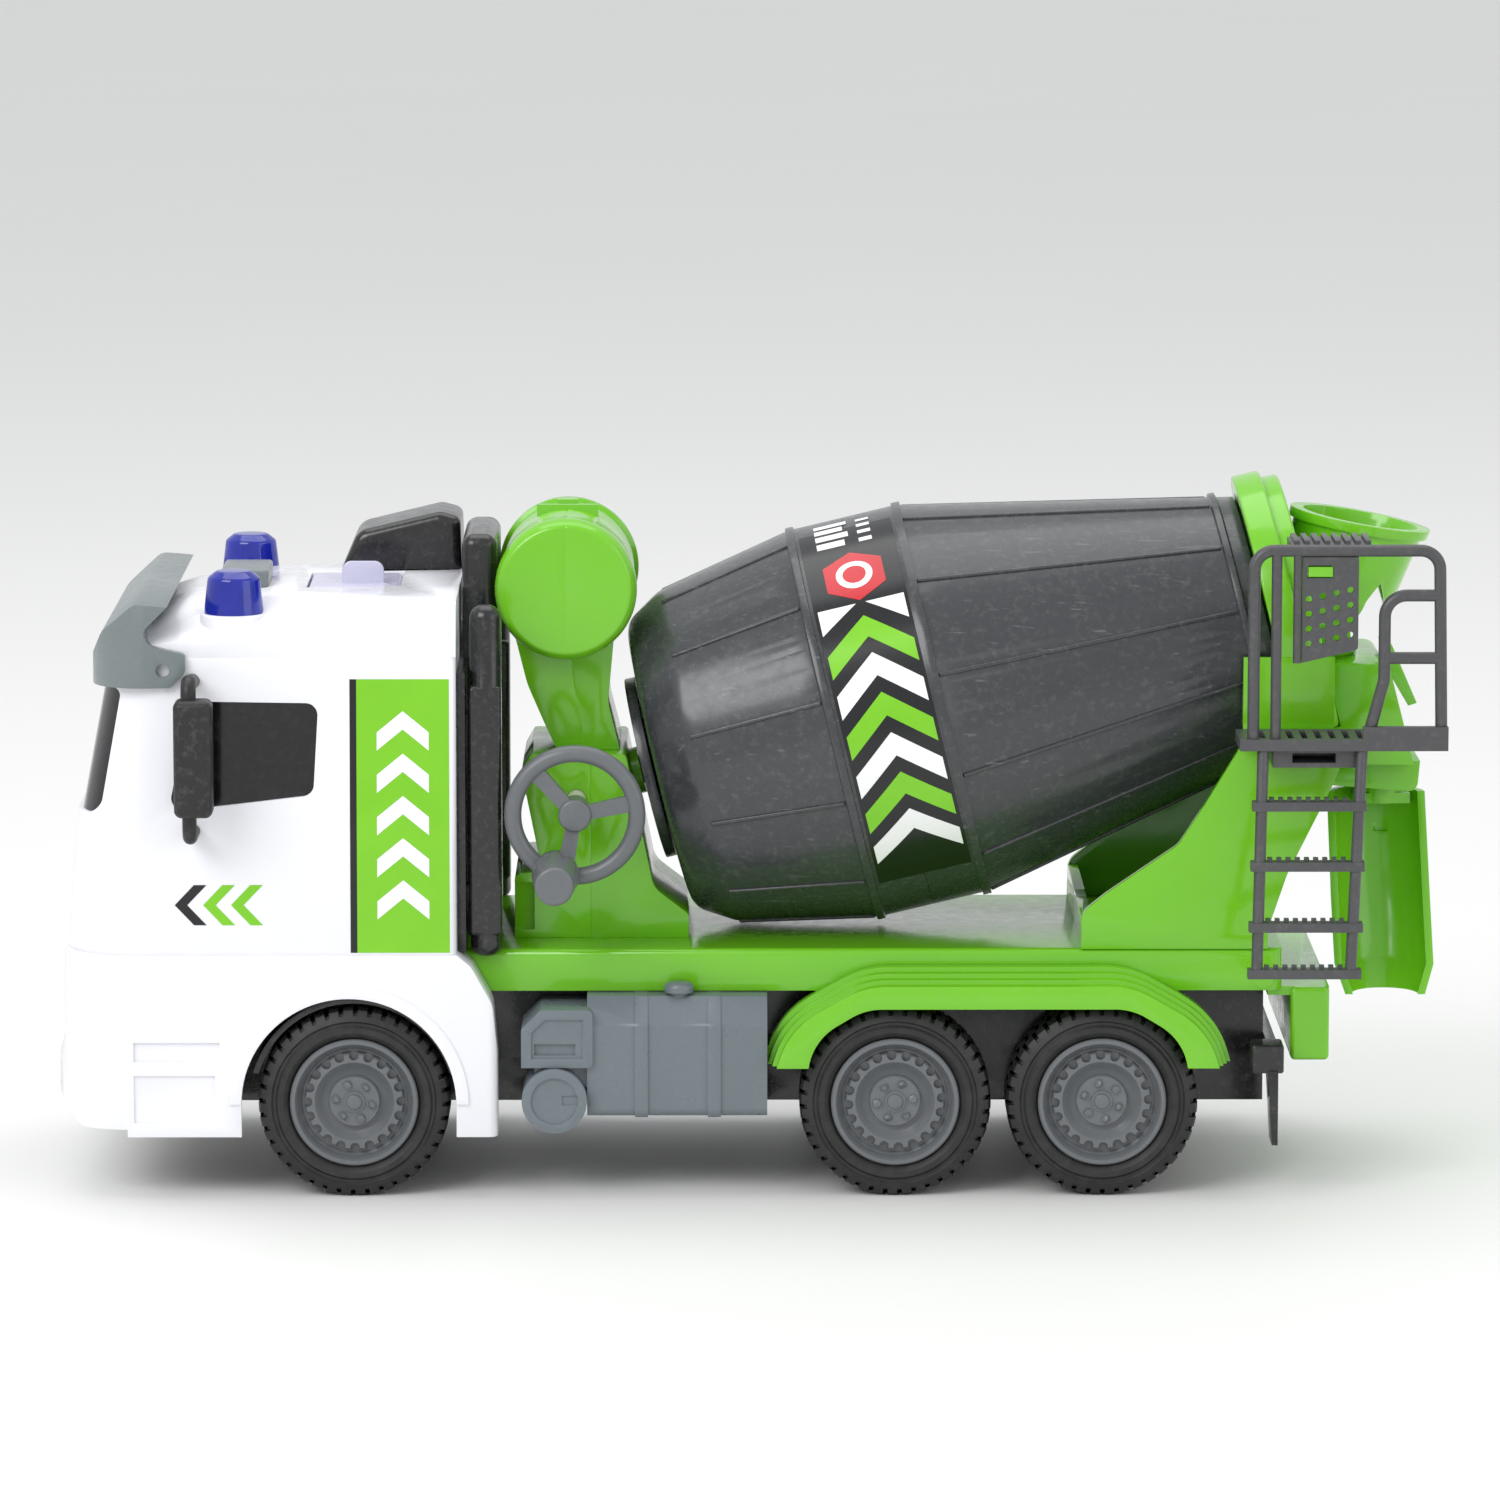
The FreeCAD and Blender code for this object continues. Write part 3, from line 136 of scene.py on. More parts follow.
materials = {name: mouldedPlastic(name, {**plasticBase, **look}) for name, look in plasticLooks.items()}
drumPlastic = materials["charcoalPolypropylene"]


def addHairScratches(material, look):
    # handling marks: long hair-thin light lines along and across the moulding
    tree = material.node_tree
    surface = tree.nodes["Principled BSDF"]
    place = addNode(tree, "ShaderNodeTexCoord").outputs["Object"]
    total = None
    for turn in look["turns"]:
        mapping = addNode(tree, "ShaderNodeMapping", {"Rotation": turn, "Scale": look["stretch"]}, {"Vector": place})
        lines = addNode(tree, "ShaderNodeTexNoise", {"Scale": 1 / (look["spacingMm"] * mm), "Detail": 2.0,
                                                     "Roughness": 0.5}, {"Vector": mapping.outputs["Vector"]})
        thin = addNode(tree, "ShaderNodeMapRange", {"From Min": look["from"], "From Max": look["from"] + 0.06,
                                                    "To Min": 0.0, "To Max": look["strength"]},
                       {"Value": lines.outputs["Fac"]})
        if total is None:
            total = thin.outputs["Result"]
        else:
            total = addNode(tree, "ShaderNodeMath", None, {0: total, 1: thin.outputs["Result"]},
                            operation="MAXIMUM").outputs["Value"]
    old = surface.inputs["Base Color"].links[0].from_socket
    marked = addNode(tree, "ShaderNodeMix", {"B": srgb(look["colour"])}, {"Factor": total, "A": old},
                     data_type="RGBA")
    tree.links.new(marked.outputs["Result"], surface.inputs["Base Color"])


addHairScratches(drumPlastic, {"turns": [(0.1, -0.24, 0.0), (0.6, 0.5, 0.9)], "stretch": (0.06, 1.0, 1.0),
                               "spacingMm": 0.9, "from": 0.69, "strength": 0.28, "colour": "#8A8D91"})


def tyreRubber():
    # moulded PVC tyre: dull black, greyed in scattered worn patches and full of fine pits
    material, tree, surface, place = startMaterial("tyreVinyl")
    pits = addNode(tree, "ShaderNodeTexNoise", {"Scale": 1 / (0.5 * mm), "Detail": 4.0}, {"Vector": place})
    wear = addNode(tree, "ShaderNodeTexNoise", {"Scale": 1 / (4 * mm), "Detail": 6.0, "Roughness": 0.7},
                   {"Vector": place})
    wearAmount = addNode(tree, "ShaderNodeMapRange", {"From Min": 0.45, "From Max": 0.75, "To Min": 0.0,
                                                      "To Max": 0.22}, {"Value": wear.outputs["Fac"]})
    colour = addNode(tree, "ShaderNodeMix", {"A": srgb("#1B1B1C"), "B": srgb("#57544F")},
                     {"Factor": wearAmount.outputs["Result"]}, data_type="RGBA")
    tree.links.new(colour.outputs["Result"], surface.inputs["Base Color"])
    rough = addNode(tree, "ShaderNodeMapRange", {"To Min": 0.42, "To Max": 0.62}, {"Value": wear.outputs["Fac"]})
    tree.links.new(rough.outputs["Result"], surface.inputs["Roughness"])
    bump = addNode(tree, "ShaderNodeBump", {"Strength": 0.25, "Distance": 0.06 * mm}, {"Height": pits.outputs["Fac"]})
    tree.links.new(bump.outputs["Normal"], surface.inputs["Normal"])
    surface.inputs["IOR"].default_value = 1.5
    return material


def blueLens():
    # transparent blue polystyrene: light goes in at the thin dome and the ribs catch it
    material, tree, surface, place = startMaterial("bluePolystyrene")
    depth = addNode(tree, "ShaderNodeTexNoise", {"Scale": 1 / (5 * mm), "Detail": 2.0}, {"Vector": place})
    colour = addNode(tree, "ShaderNodeMix", {"A": srgb("#1420A8"), "B": srgb("#2A40D8")},
                     {"Factor": depth.outputs["Fac"]}, data_type="RGBA")
    tree.links.new(colour.outputs["Result"], surface.inputs["Base Color"])
    rough = addNode(tree, "ShaderNodeMapRange", {"To Min": 0.05, "To Max": 0.14}, {"Value": depth.outputs["Fac"]})
    tree.links.new(rough.outputs["Result"], surface.inputs["Roughness"])
    surface.inputs["IOR"].default_value = 1.59
    surface.inputs["Transmission Weight"].default_value = 0.55
    return material


def clearLed():
    # clear epoxy bulb, slightly milky
    material, tree, surface, place = startMaterial("clearEpoxy")
    cloud = addNode(tree, "ShaderNodeTexNoise", {"Scale": 1 / (1.5 * mm)}, {"Vector": place})
    colour = addNode(tree, "ShaderNodeMix", {"A": srgb("#DDE2F2"), "B": srgb("#F6F8FF")},
                     {"Factor": cloud.outputs["Fac"]}, data_type="RGBA")
    tree.links.new(colour.outputs["Result"], surface.inputs["Base Color"])
    surface.inputs["Roughness"].default_value = 0.08
    surface.inputs["Transmission Weight"].default_value = 0.5
    return material


def drawnSteel():
    # drawn steel wire: fine lengthwise lines and a soft bright streak
    material, tree, surface, place = startMaterial("drawnSteel")
    mapping = addNode(tree, "ShaderNodeMapping", {"Scale": (1.0, 0.05, 1.0)}, {"Vector": place})
    lines = addNode(tree, "ShaderNodeTexNoise", {"Scale": 1 / (0.25 * mm), "Detail": 2.0},
                    {"Vector": mapping.outputs["Vector"]})
    colour = addNode(tree, "ShaderNodeMix", {"A": srgb("#8E8F92"), "B": srgb("#B9BABD")},
                     {"Factor": lines.outputs["Fac"]}, data_type="RGBA")
    tree.links.new(colour.outputs["Result"], surface.inputs["Base Color"])
    rough = addNode(tree, "ShaderNodeMapRange", {"To Min": 0.22, "To Max": 0.4}, {"Value": lines.outputs["Fac"]})
    tree.links.new(rough.outputs["Result"], surface.inputs["Roughness"])
    surface.inputs["Metallic"].default_value = 1.0
    return material


def boardLaminate():
    # glass-epoxy board under green solder resist, with the weave faintly showing
    material, tree, surface, place = startMaterial("glassEpoxyBoard")
    weave = addNode(tree, "ShaderNodeTexChecker", {"Scale": 1 / (0.6 * mm), "Color1": srgb("#14532C"),
                                                   "Color2": srgb("#1A6236")}, {"Vector": place})
    tree.links.new(weave.outputs["Color"], surface.inputs["Base Color"])
    surface.inputs["Roughness"].default_value = 0.35
    return material


def printedFilm(name, colour, deep, roughness):
    # printed vinyl sticker: flat ink under a thin clear film, with slight orange peel
    material, tree, surface, place = startMaterial(name)
    drift = addNode(tree, "ShaderNodeTexNoise", {"Scale": 1 / (9 * mm), "Detail": 4.0}, {"Vector": place})
    ink = addNode(tree, "ShaderNodeMix", {"A": srgb(deep), "B": srgb(colour)}, {"Factor": drift.outputs["Fac"]},
                  data_type="RGBA")
    tree.links.new(ink.outputs["Result"], surface.inputs["Base Color"])
    peel = addNode(tree, "ShaderNodeTexNoise", {"Scale": 1 / (0.8 * mm), "Detail": 2.0}, {"Vector": place})
    rough = addNode(tree, "ShaderNodeMapRange", {"To Min": roughness, "To Max": roughness + 0.12},
                    {"Value": peel.outputs["Fac"]})
    tree.links.new(rough.outputs["Result"], surface.inputs["Roughness"])
    bump = addNode(tree, "ShaderNodeBump", {"Strength": 0.08, "Distance": 0.03 * mm}, {"Height": peel.outputs["Fac"]})
    tree.links.new(bump.outputs["Normal"], surface.inputs["Normal"])
    return material


materials["tyreVinyl"] = tyreRubber()
materials["bluePolystyrene"] = blueLens()
materials["clearEpoxy"] = clearLed()
materials["drawnSteel"] = drawnSteel()
materials["glassEpoxyBoard"] = boardLaminate()
# inks of the stickers, each a little uneven and glossier than the plastic below
films = {"greenFilm": ("#7CC71F", "#70BB17", 0.16), "whiteFilm": ("#F1F1F1", "#E6E6E6", 0.18),
         "blackFilm": ("#17181A", "#101113", 0.16), "redFilm": ("#C9202A", "#B81A24", 0.18)}
for name, (colour, deep, roughness) in films.items():
    materials[name] = printedFilm(name, colour, deep, roughness)
print("materials ready:", len(materials))


def only(piece):
    bpy.ops.object.select_all(action="DESELECT")
    piece.select_set(True)
    bpy.context.view_layer.objects.active = piece


def paint(piece, *names):
    piece.data.materials.clear()
    for name in names:
        piece.data.materials.append(materials[name])


def settle(piece, body):
    # place, turn and size go into the mesh, then the piece joins its body
    only(piece)
    bpy.ops.object.transform_apply(location=True, rotation=True, scale=True)
    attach(piece, body)
    return piece


def applyModifier(piece, kind, name, **settings):
    only(piece)
    modifier = piece.modifiers.new(name, kind)
    for key, value in settings.items():
        setattr(modifier, key, value)
    bpy.ops.object.modifier_apply(modifier=modifier.name)


def finishedCopy(node, edgeMm):
    # the moulding as it leaves the tool: same shape, edges broken by a small radius, smooth shading
    piece = bpy.data.objects.new(node + "Skin", cadNodes[node].data.copy())
    bpy.context.scene.collection.objects.link(piece)
    only(piece)
    bpy.ops.mesh.customdata_custom_splitnormals_clear()
    bpy.ops.object.mode_set(mode="EDIT")
    bpy.ops.mesh.select_all(action="SELECT")
    bpy.ops.mesh.remove_doubles(threshold=0.002 * mm)
    if edgeMm:
        bpy.ops.mesh.dissolve_limited(angle_limit=math.radians(0.4))
    bpy.ops.object.mode_set(mode="OBJECT")
    if edgeMm:
        applyModifier(piece, "BEVEL", "brokenEdges", width=edgeMm * mm, segments=2, limit_method="ANGLE",
                      angle_limit=math.radians(40), use_clamp_overlap=True, harden_normals=False)
    only(piece)
    bpy.ops.object.shade_smooth_by_angle(angle=math.radians(smoothAngle))
    return piece


def unit(vector):
    return Vector(vector).normalized()


def turnedPiece(name, points, centre, along, across, steps):
    # a profile drawn point by point from one vertex, then spun round its axis; points are (along, radius) in mm
    axis, out = unit(along), unit(across)
    spots = [(Vector(centre) + axis * s + out * r) * mm for s, r in points]
    bpy.ops.mesh.primitive_plane_add(size=mm, location=(0.0, 0.0, 0.0))
    piece = bpy.context.active_object
    piece.name = name
    bpy.ops.object.mode_set(mode="EDIT")
    bpy.ops.mesh.select_all(action="SELECT")
    bpy.ops.mesh.merge(type="CENTER")
    bpy.ops.transform.translate(value=spots[0])
    for before, here in zip(spots, spots[1:]):
        bpy.ops.mesh.extrude_region_move(TRANSFORM_OT_translate={"value": here - before})
    bpy.ops.mesh.select_all(action="SELECT")
    bpy.ops.mesh.spin(steps=steps, angle=2 * math.pi, center=Vector(centre) * mm, axis=axis)
    bpy.ops.mesh.select_all(action="SELECT")
    bpy.ops.mesh.remove_doubles(threshold=0.004 * mm)
    bpy.ops.mesh.normals_make_consistent(inside=False)
    bpy.ops.object.mode_set(mode="OBJECT")
    return piece


def plate(name, outline, place, lift, thickness, cuts=()):
    # flat shape from its outline: a plane reduced to one corner, walked round, filled and thickened
    spots = [place(a, b, lift) for a, b in outline]
    bpy.ops.mesh.primitive_plane_add(size=mm, location=(0.0, 0.0, 0.0))
    piece = bpy.context.active_object
    piece.name = name
    bpy.ops.object.mode_set(mode="EDIT")
    bpy.ops.mesh.select_all(action="SELECT")
    bpy.ops.mesh.merge(type="CENTER")
    bpy.ops.transform.translate(value=spots[0])
    for before, here in zip(spots, spots[1:]):
        bpy.ops.mesh.extrude_region_move(TRANSFORM_OT_translate={"value": here - before})
    bpy.ops.mesh.select_all(action="SELECT")
    bpy.ops.mesh.edge_face_add()
    for point, normal in cuts:
        bpy.ops.mesh.select_all(action="SELECT")
        bpy.ops.mesh.bisect(plane_co=point, plane_no=normal)
    bpy.ops.mesh.select_all(action="SELECT")
    rise = place(0, 0, lift + thickness) - place(0, 0, lift)
    bpy.ops.mesh.extrude_region_move(TRANSFORM_OT_translate={"value": rise})
    bpy.ops.mesh.select_all(action="SELECT")
    bpy.ops.mesh.normals_make_consistent(inside=False)
    bpy.ops.object.mode_set(mode="OBJECT")
    return piece


def joinAll(pieces, name):
    bpy.ops.object.select_all(action="DESELECT")
    for piece in pieces:
        piece.select_set(True)
    bpy.context.view_layer.objects.active = pieces[0]
    if len(pieces) > 1:
        bpy.ops.object.join()
    pieces[0].name = name
    return pieces[0]


def smoothed(piece, degrees=smoothAngle):
    only(piece)
    bpy.ops.object.shade_smooth_by_angle(angle=math.radians(degrees))
    return piece


def copyOf(piece, matrix, name):
    twin = bpy.data.objects.new(name, piece.data.copy())
    bpy.context.scene.collection.objects.link(twin)
    twin.data.transform(matrix)
    if matrix.determinant() < 0:
        only(twin)
        bpy.ops.object.mode_set(mode="EDIT")
        bpy.ops.mesh.select_all(action="SELECT")
        bpy.ops.mesh.flip_normals()
        bpy.ops.object.mode_set(mode="OBJECT")
    return twin


def carve(piece, cutter):
    only(piece)
    modifier = piece.modifiers.new("carved", "BOOLEAN")
    modifier.operation = "DIFFERENCE"
    modifier.solver = "EXACT"
    modifier.object = cutter
    bpy.ops.object.modifier_apply(modifier=modifier.name)
    bpy.data.objects.remove(cutter)


mirrorAcross = Matrix.Diagonal((1.0, -1.0, 1.0, 1.0))
remodelled = set()

wheelCentre = (0, 0, truck["wheelRadius"])
tyre = {"blocks": 40, "notch": 0.9, "shoulderRadius": 17.9, "crownRadius": 19.6, "shoulders": (-33.4, -40.6),
        "crown": (-38.8, -35.2),
        "profile": [(30.0, 12.7), (30.3, 15.2), (30.0, 16.6), (30.4, 18.4), (31.2, 19.5), (32.2, 20.0), (34.3, 20.0),
                    (34.3, 19.1), (35.1, 19.1), (35.1, 20.0), (38.9, 20.0), (38.9, 19.1), (39.7, 19.1), (39.7, 20.0),
                    (41.8, 20.0), (42.8, 19.5), (43.5, 18.4), (43.9, 17.3), (43.5, 16.9), (43.5, 16.4), (44.0, 15.9),
                    (43.9, 14.8), (43.2, 13.9), (42.5, 13.45), (42.4, 12.7), (30.0, 12.7)]}


def makeTyre():
    piece = turnedPiece("tyreMaster", tyre["profile"], wheelCentre, (0, -1, 0), (0, 0, 1), tyre["blocks"] * 3)
    bpy.ops.object.mode_set(mode="EDIT")
    bpy.ops.mesh.select_all(action="DESELECT")
    bpy.ops.object.mode_set(mode="OBJECT")
    step = 2 * math.pi / tyre["blocks"]
    for face in piece.data.polygons:
        c = face.center / mm
        radius = math.hypot(c.x, c.z - truck["wheelRadius"])
        turn = math.atan2(c.x, c.z - truck["wheelRadius"]) % step
        shoulder = radius > tyre["shoulderRadius"] and (c.y > tyre["shoulders"][0] or c.y < tyre["shoulders"][1])
        middle = radius > tyre["crownRadius"] and tyre["crown"][0] < c.y < tyre["crown"][1]
        face.select = (shoulder and turn < step / 3) or (middle and step / 3 < turn < step * 2 / 3)
    bpy.ops.object.mode_set(mode="EDIT")
    bpy.ops.mesh.select_mode(type="FACE")
    bpy.ops.mesh.extrude_region_shrink_fatten(TRANSFORM_OT_shrink_fatten={"value": -tyre["notch"] * mm})
    bpy.ops.mesh.select_mode(type="VERT")
    bpy.ops.object.mode_set(mode="OBJECT")
    return smoothed(piece, 30)


hub = {"pockets": 20, "pocketRadius": 1.0, "pocketRing": 9.75, "pocketY": -42.2, "pocketDepth": 2.6, "nuts": 6,
       "nutRing": 3.8, "nutRadius": 0.95, "nutY": -42.3, "nutDepth": 0.9,
       "cap": [(41.8, 0.0), (41.8, 2.2), (42.5, 2.2), (42.5, 1.7), (43.0, 1.5), (43.2, 1.0), (43.2, 0.0)],
       "profile": [(31.0, 1.52), (31.0, 4.5), (36.5, 4.5), (36.5, 12.0), (31.0, 12.0), (31.0, 12.6), (42.4, 12.6),
                   (42.4, 13.4), (43.2, 13.4), (43.5, 13.1), (43.5, 12.4), (43.1, 12.1), (41.2, 11.6), (40.6, 10.9),
                   (40.6, 10.5), (41.9, 10.3), (42.2, 10.0), (42.2, 8.3), (41.9, 8.0), (40.9, 7.2), (40.4, 6.2),
                   (40.4, 5.5), (41.9, 5.3), (42.1, 5.1), (42.1, 1.52), (31.0, 1.52)]}


def makeHub():
    piece = turnedPiece("hubMaster", hub["profile"], wheelCentre, (0, -1, 0), (0, 0, 1), 80)
    cutters = []
    for k in range(hub["pockets"]):
        turn = 2 * math.pi * k / hub["pockets"]
        place = (hub["pocketRing"] * math.sin(turn), hub["pocketY"],
                 truck["wheelRadius"] + hub["pocketRing"] * math.cos(turn))
        bpy.ops.mesh.primitive_cylinder_add(vertices=16, radius=hub["pocketRadius"] * mm,
                                            depth=hub["pocketDepth"] * mm, location=Vector(place) * mm,
                                            rotation=(math.pi / 2, 0, 0))
        cutters.append(bpy.context.active_object)
    cutter = joinAll(cutters, "pocketCutter")
    carve(piece, cutter)
    parts = [piece]
    for k in range(hub["nuts"]):
        turn = 2 * math.pi * (k + 0.25) / hub["nuts"]
        place = (hub["nutRing"] * math.sin(turn), hub["nutY"], truck["wheelRadius"] + hub["nutRing"] * math.cos(turn))
        bpy.ops.mesh.primitive_cylinder_add(vertices=6, radius=hub["nutRadius"] * mm, depth=hub["nutDepth"] * mm,
                                            location=Vector(place) * mm, rotation=(math.pi / 2, 0, turn))
        nut = bpy.context.active_object
        applyModifier(nut, "BEVEL", "nutEdge", width=0.15 * mm, segments=2)
        parts.append(nut)
    cap = turnedPiece("hubCap", hub["cap"], wheelCentre, (0, -1, 0), (0, 0, 1), 32)
    parts.append(cap)
    for part in parts[1:]:
        only(part)
        bpy.ops.object.transform_apply(location=True, rotation=True, scale=True)
    return smoothed(joinAll(parts, "hubMaster"), 30)


tyreMaster, hubMaster = makeTyre(), makeHub()
for axle, axleX in truck["axles"].items():
    for part, master, finish, slotName in (("tyres", tyreMaster, "tyreVinyl", "tyre_rubber"),
                                           ("hubs", hubMaster, "hubGreyAbs", "hub_grey_plastic")):
        shift = Matrix.Translation((axleX * mm, 0, 0))
        hubPlace = Matrix.Translation(Vector(wheelCentre) * mm)
        # each axle stands at its own turn, so that the treads don't line up
        turnWheel = hubPlace @ Matrix.Rotation(0.35 * axleX, 4, "Y") @ hubPlace.inverted()
        pair = [copyOf(master, shift @ turnWheel, axle + part),
                copyOf(master, shift @ turnWheel @ mirrorAcross, "twin")]
        piece = joinAll(pair, axle + part.capitalize())
        paint(piece, finish)
        settle(smoothed(piece, 30), axle)
        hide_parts(axle + "_" + part)
        remodelled.add(axle + "_" + part)
for master in (tyreMaster, hubMaster):
    bpy.data.objects.remove(master)
print("wheels built")

tilt = math.radians(truck["drumTilt"])
drumAlong = Vector((math.cos(tilt), 0, math.sin(tilt)))
drumUp = Vector((-math.sin(tilt), 0, math.cos(tilt)))
nearSide = Vector((0, -1, 0))
drumStart = Vector(truck["drumOrigin"])
drumLook = {"ribs": 12, "ribWidth": 0.9, "ribHeight": 0.45, "ribPhase": 15.0, "front": (-28.6, -0.2),
            "rear": (25.0, 88.4), "bandRadius": 42.2, "bandLength": 24.9, "ringRadius": 42.0,
            "frontSlope": 5.8 / 29.0, "rearSlope": 0.21273}


def onDrum(station, radius, degrees):
    turn = math.radians(degrees)
    return (drumStart + drumAlong * station + (drumUp * math.cos(turn) + nearSide * math.sin(turn)) * radius) * mm


def drumRadius(station):
    if station <= 0:
        return drumLook["ringRadius"] + station * drumLook["frontSlope"]
    if station <= drumLook["bandLength"]:
        return drumLook["bandRadius"]
    return drumLook["ringRadius"] - drumLook["rearSlope"] * (station - drumLook["bandLength"])


def makeDrumRibs():
    ribs = []
    for start, end in (drumLook["front"], drumLook["rear"]):
        first = onDrum(start, drumRadius(start), 0)
        last = onDrum(end, drumRadius(end), 0)
        run = last - first
        bpy.ops.mesh.primitive_cube_add(size=1.0)
        rib = bpy.context.active_object
        rib.scale = (run.length, drumLook["ribWidth"] * mm, 2 * drumLook["ribHeight"] * mm)
        bpy.ops.object.transform_apply(location=False, rotation=False, scale=True)
        applyModifier(rib, "BEVEL", "ribEdge", width=0.3 * mm, segments=3)
        out = drumUp - drumUp.project(run)
        out.normalize()
        side = out.cross(run.normalized())
        frameMatrix = Matrix((run.normalized(), side, out)).transposed().to_4x4()
        rib.data.transform(Matrix.Translation((first + last) / 2) @ frameMatrix)
        for k in range(drumLook["ribs"]):
            turn = Matrix.Rotation(math.radians(drumLook["ribPhase"] + 360 * k / drumLook["ribs"]), 4, drumAlong)
            about = Matrix.Translation(drumStart * mm)
            ribs.append(copyOf(rib, about @ turn @ about.inverted(), "rib"))
        bpy.data.objects.remove(rib)
    return joinAll(ribs, "drumRibs")


ribs = makeDrumRibs()
paint(ribs, "charcoalPolypropylene")
settle(smoothed(ribs), "drum")


band = {"from": 2.6, "to": 22.4, "top": 12.0, "bottom": 137.0, "chevrons": 9, "chevronStart": 52.5,
        "chevronPitch": 8.6,
        "stroke": 5.0, "rise": 7.6, "margin": 0.7, "facet": 1.4, "signRadius": 7.2, "signOffset": 11.0,
        "ring": (3.9, 2.5), "under": 0.02, "over": 0.08}


def flatPlace(a, b, lift):
    return Vector((a, b, lift)) * mm


def bandPiece(name, outline, lift, finish, thickness=0.05):
    # drawn flat as (station, arc length) and then rolled round the drum's middle band
    low, high = min(b for a, b in outline), max(b for a, b in outline)
    lines = [(Vector((0, low + band["facet"] * k, 0)) * mm, (0, 1, 0))
             for k in range(1, int((high - low) / band["facet"]) + 1)]
    piece = plate(name, outline, flatPlace, lift, thickness, lines)
    for vertex in piece.data.vertices:
        station, arc, rise = vertex.co / mm
        vertex.co = onDrum(station, drumLook["bandRadius"] + rise, math.degrees(arc / drumLook["bandRadius"]))
    only(piece)
    bpy.ops.object.mode_set(mode="EDIT")
    bpy.ops.mesh.select_all(action="SELECT")
    bpy.ops.mesh.normals_make_consistent(inside=False)
    bpy.ops.object.mode_set(mode="OBJECT")
    paint(piece, finish)
    return piece


def arcAt(degrees):
    return math.radians(degrees) * drumLook["bandRadius"]


def makeBand():
    top, bottom = arcAt(band["top"]), arcAt(band["bottom"])
    s0, s1 = band["from"], band["to"]
    middle = (s0 + s1) / 2
    right, left = s1 - band["margin"], s0 + band["margin"]
    over = band["over"]
    sticker = [(s0, top), (s1, top), (s1, bottom), (s0, bottom)]
    pieces = [bandPiece("bandSticker", sticker, band["under"], "blackFilm")]
    start = arcAt(band["chevronStart"])
    for k in range(band["chevrons"]):
        tip = start + k * band["chevronPitch"]
        outer = tip + band["rise"]
        if outer + band["stroke"] > bottom:
            break
        outline = [(middle, tip), (right, outer), (right, outer + band["stroke"]), (middle, tip + band["stroke"]),
                   (left, outer + band["stroke"]), (left, outer)]
        pieces.append(bandPiece("chevron", outline, over, "greenFilm" if k % 2 == 0 else "whiteFilm"))
    for side in (-1, 1):
        edge = middle + side * (right - middle)
        inner = middle + side
        outline = [(inner, start - 3.2), (edge, start - 3.2), (edge, start + 2.8)][::side]
        pieces.append(bandPiece("halfChevron", outline, over, "whiteFilm"))
    centreArc = start - band["signOffset"]

    def around(radius, degrees):
        turn = math.radians(degrees)
        return (middle + radius * math.cos(turn), centreArc + radius * math.sin(turn))

    hexagon = [around(band["signRadius"], 30 + 60 * k) for k in range(6)]
    pieces.append(bandPiece("hexagonSign", hexagon, over, "redFilm"))
    ring = [around(band["ring"][0], 15 * k) for k in range(25)] + [around(band["ring"][1], 15 * k)
                                                                   for k in range(24, -1, -1)]
    pieces.append(bandPiece("signRing", ring, 0.14, "whiteFilm"))
    # two columns of plain bars stand where lettering would be
    for k in range(4):
        low = centreArc - 10.5 - 3.6 * k
        wide, small = (s0 + 3.4, s0 + 9.4 + k % 2), (s0 + 12.4, s0 + 15.2)
        for name, (near, far), height in (("bar", wide, 2.4), ("smallBar", small, 1.5)):
            outline = [(near, low), (far, low), (far, low - height), (near, low - height)]
            pieces.append(bandPiece(name, outline, over, "whiteFilm"))
    for piece in pieces:
        settle(smoothed(piece), "drum")


makeBand()
print("drum dressed")


def cabPlace(x, z, lift):
    # a point on the left side of the upper cab, which leans in above its belt line
    half = 44.5 - (z - 51.5) * 0.04 if z <= 79 else 43.4 - (z - 79) * 0.0696
    return Vector((x, -(half + lift), z)) * mm


cabArt = {"stickerFrom": -81.6, "stickerTo": -62.4, "low": 52.0, "belt": 79.0, "high": 109.0, "edge": 1.4,
          "arrows": 5, "arrowLow": 59.0, "arrowPitch": 8.8, "arrowHalf": 5.4, "arrowRise": 4.4, "arrowStroke": 3.8,
          "doorArrowZ": 62.0, "doorArrowX": (-119.5, -113.6, -107.8)}


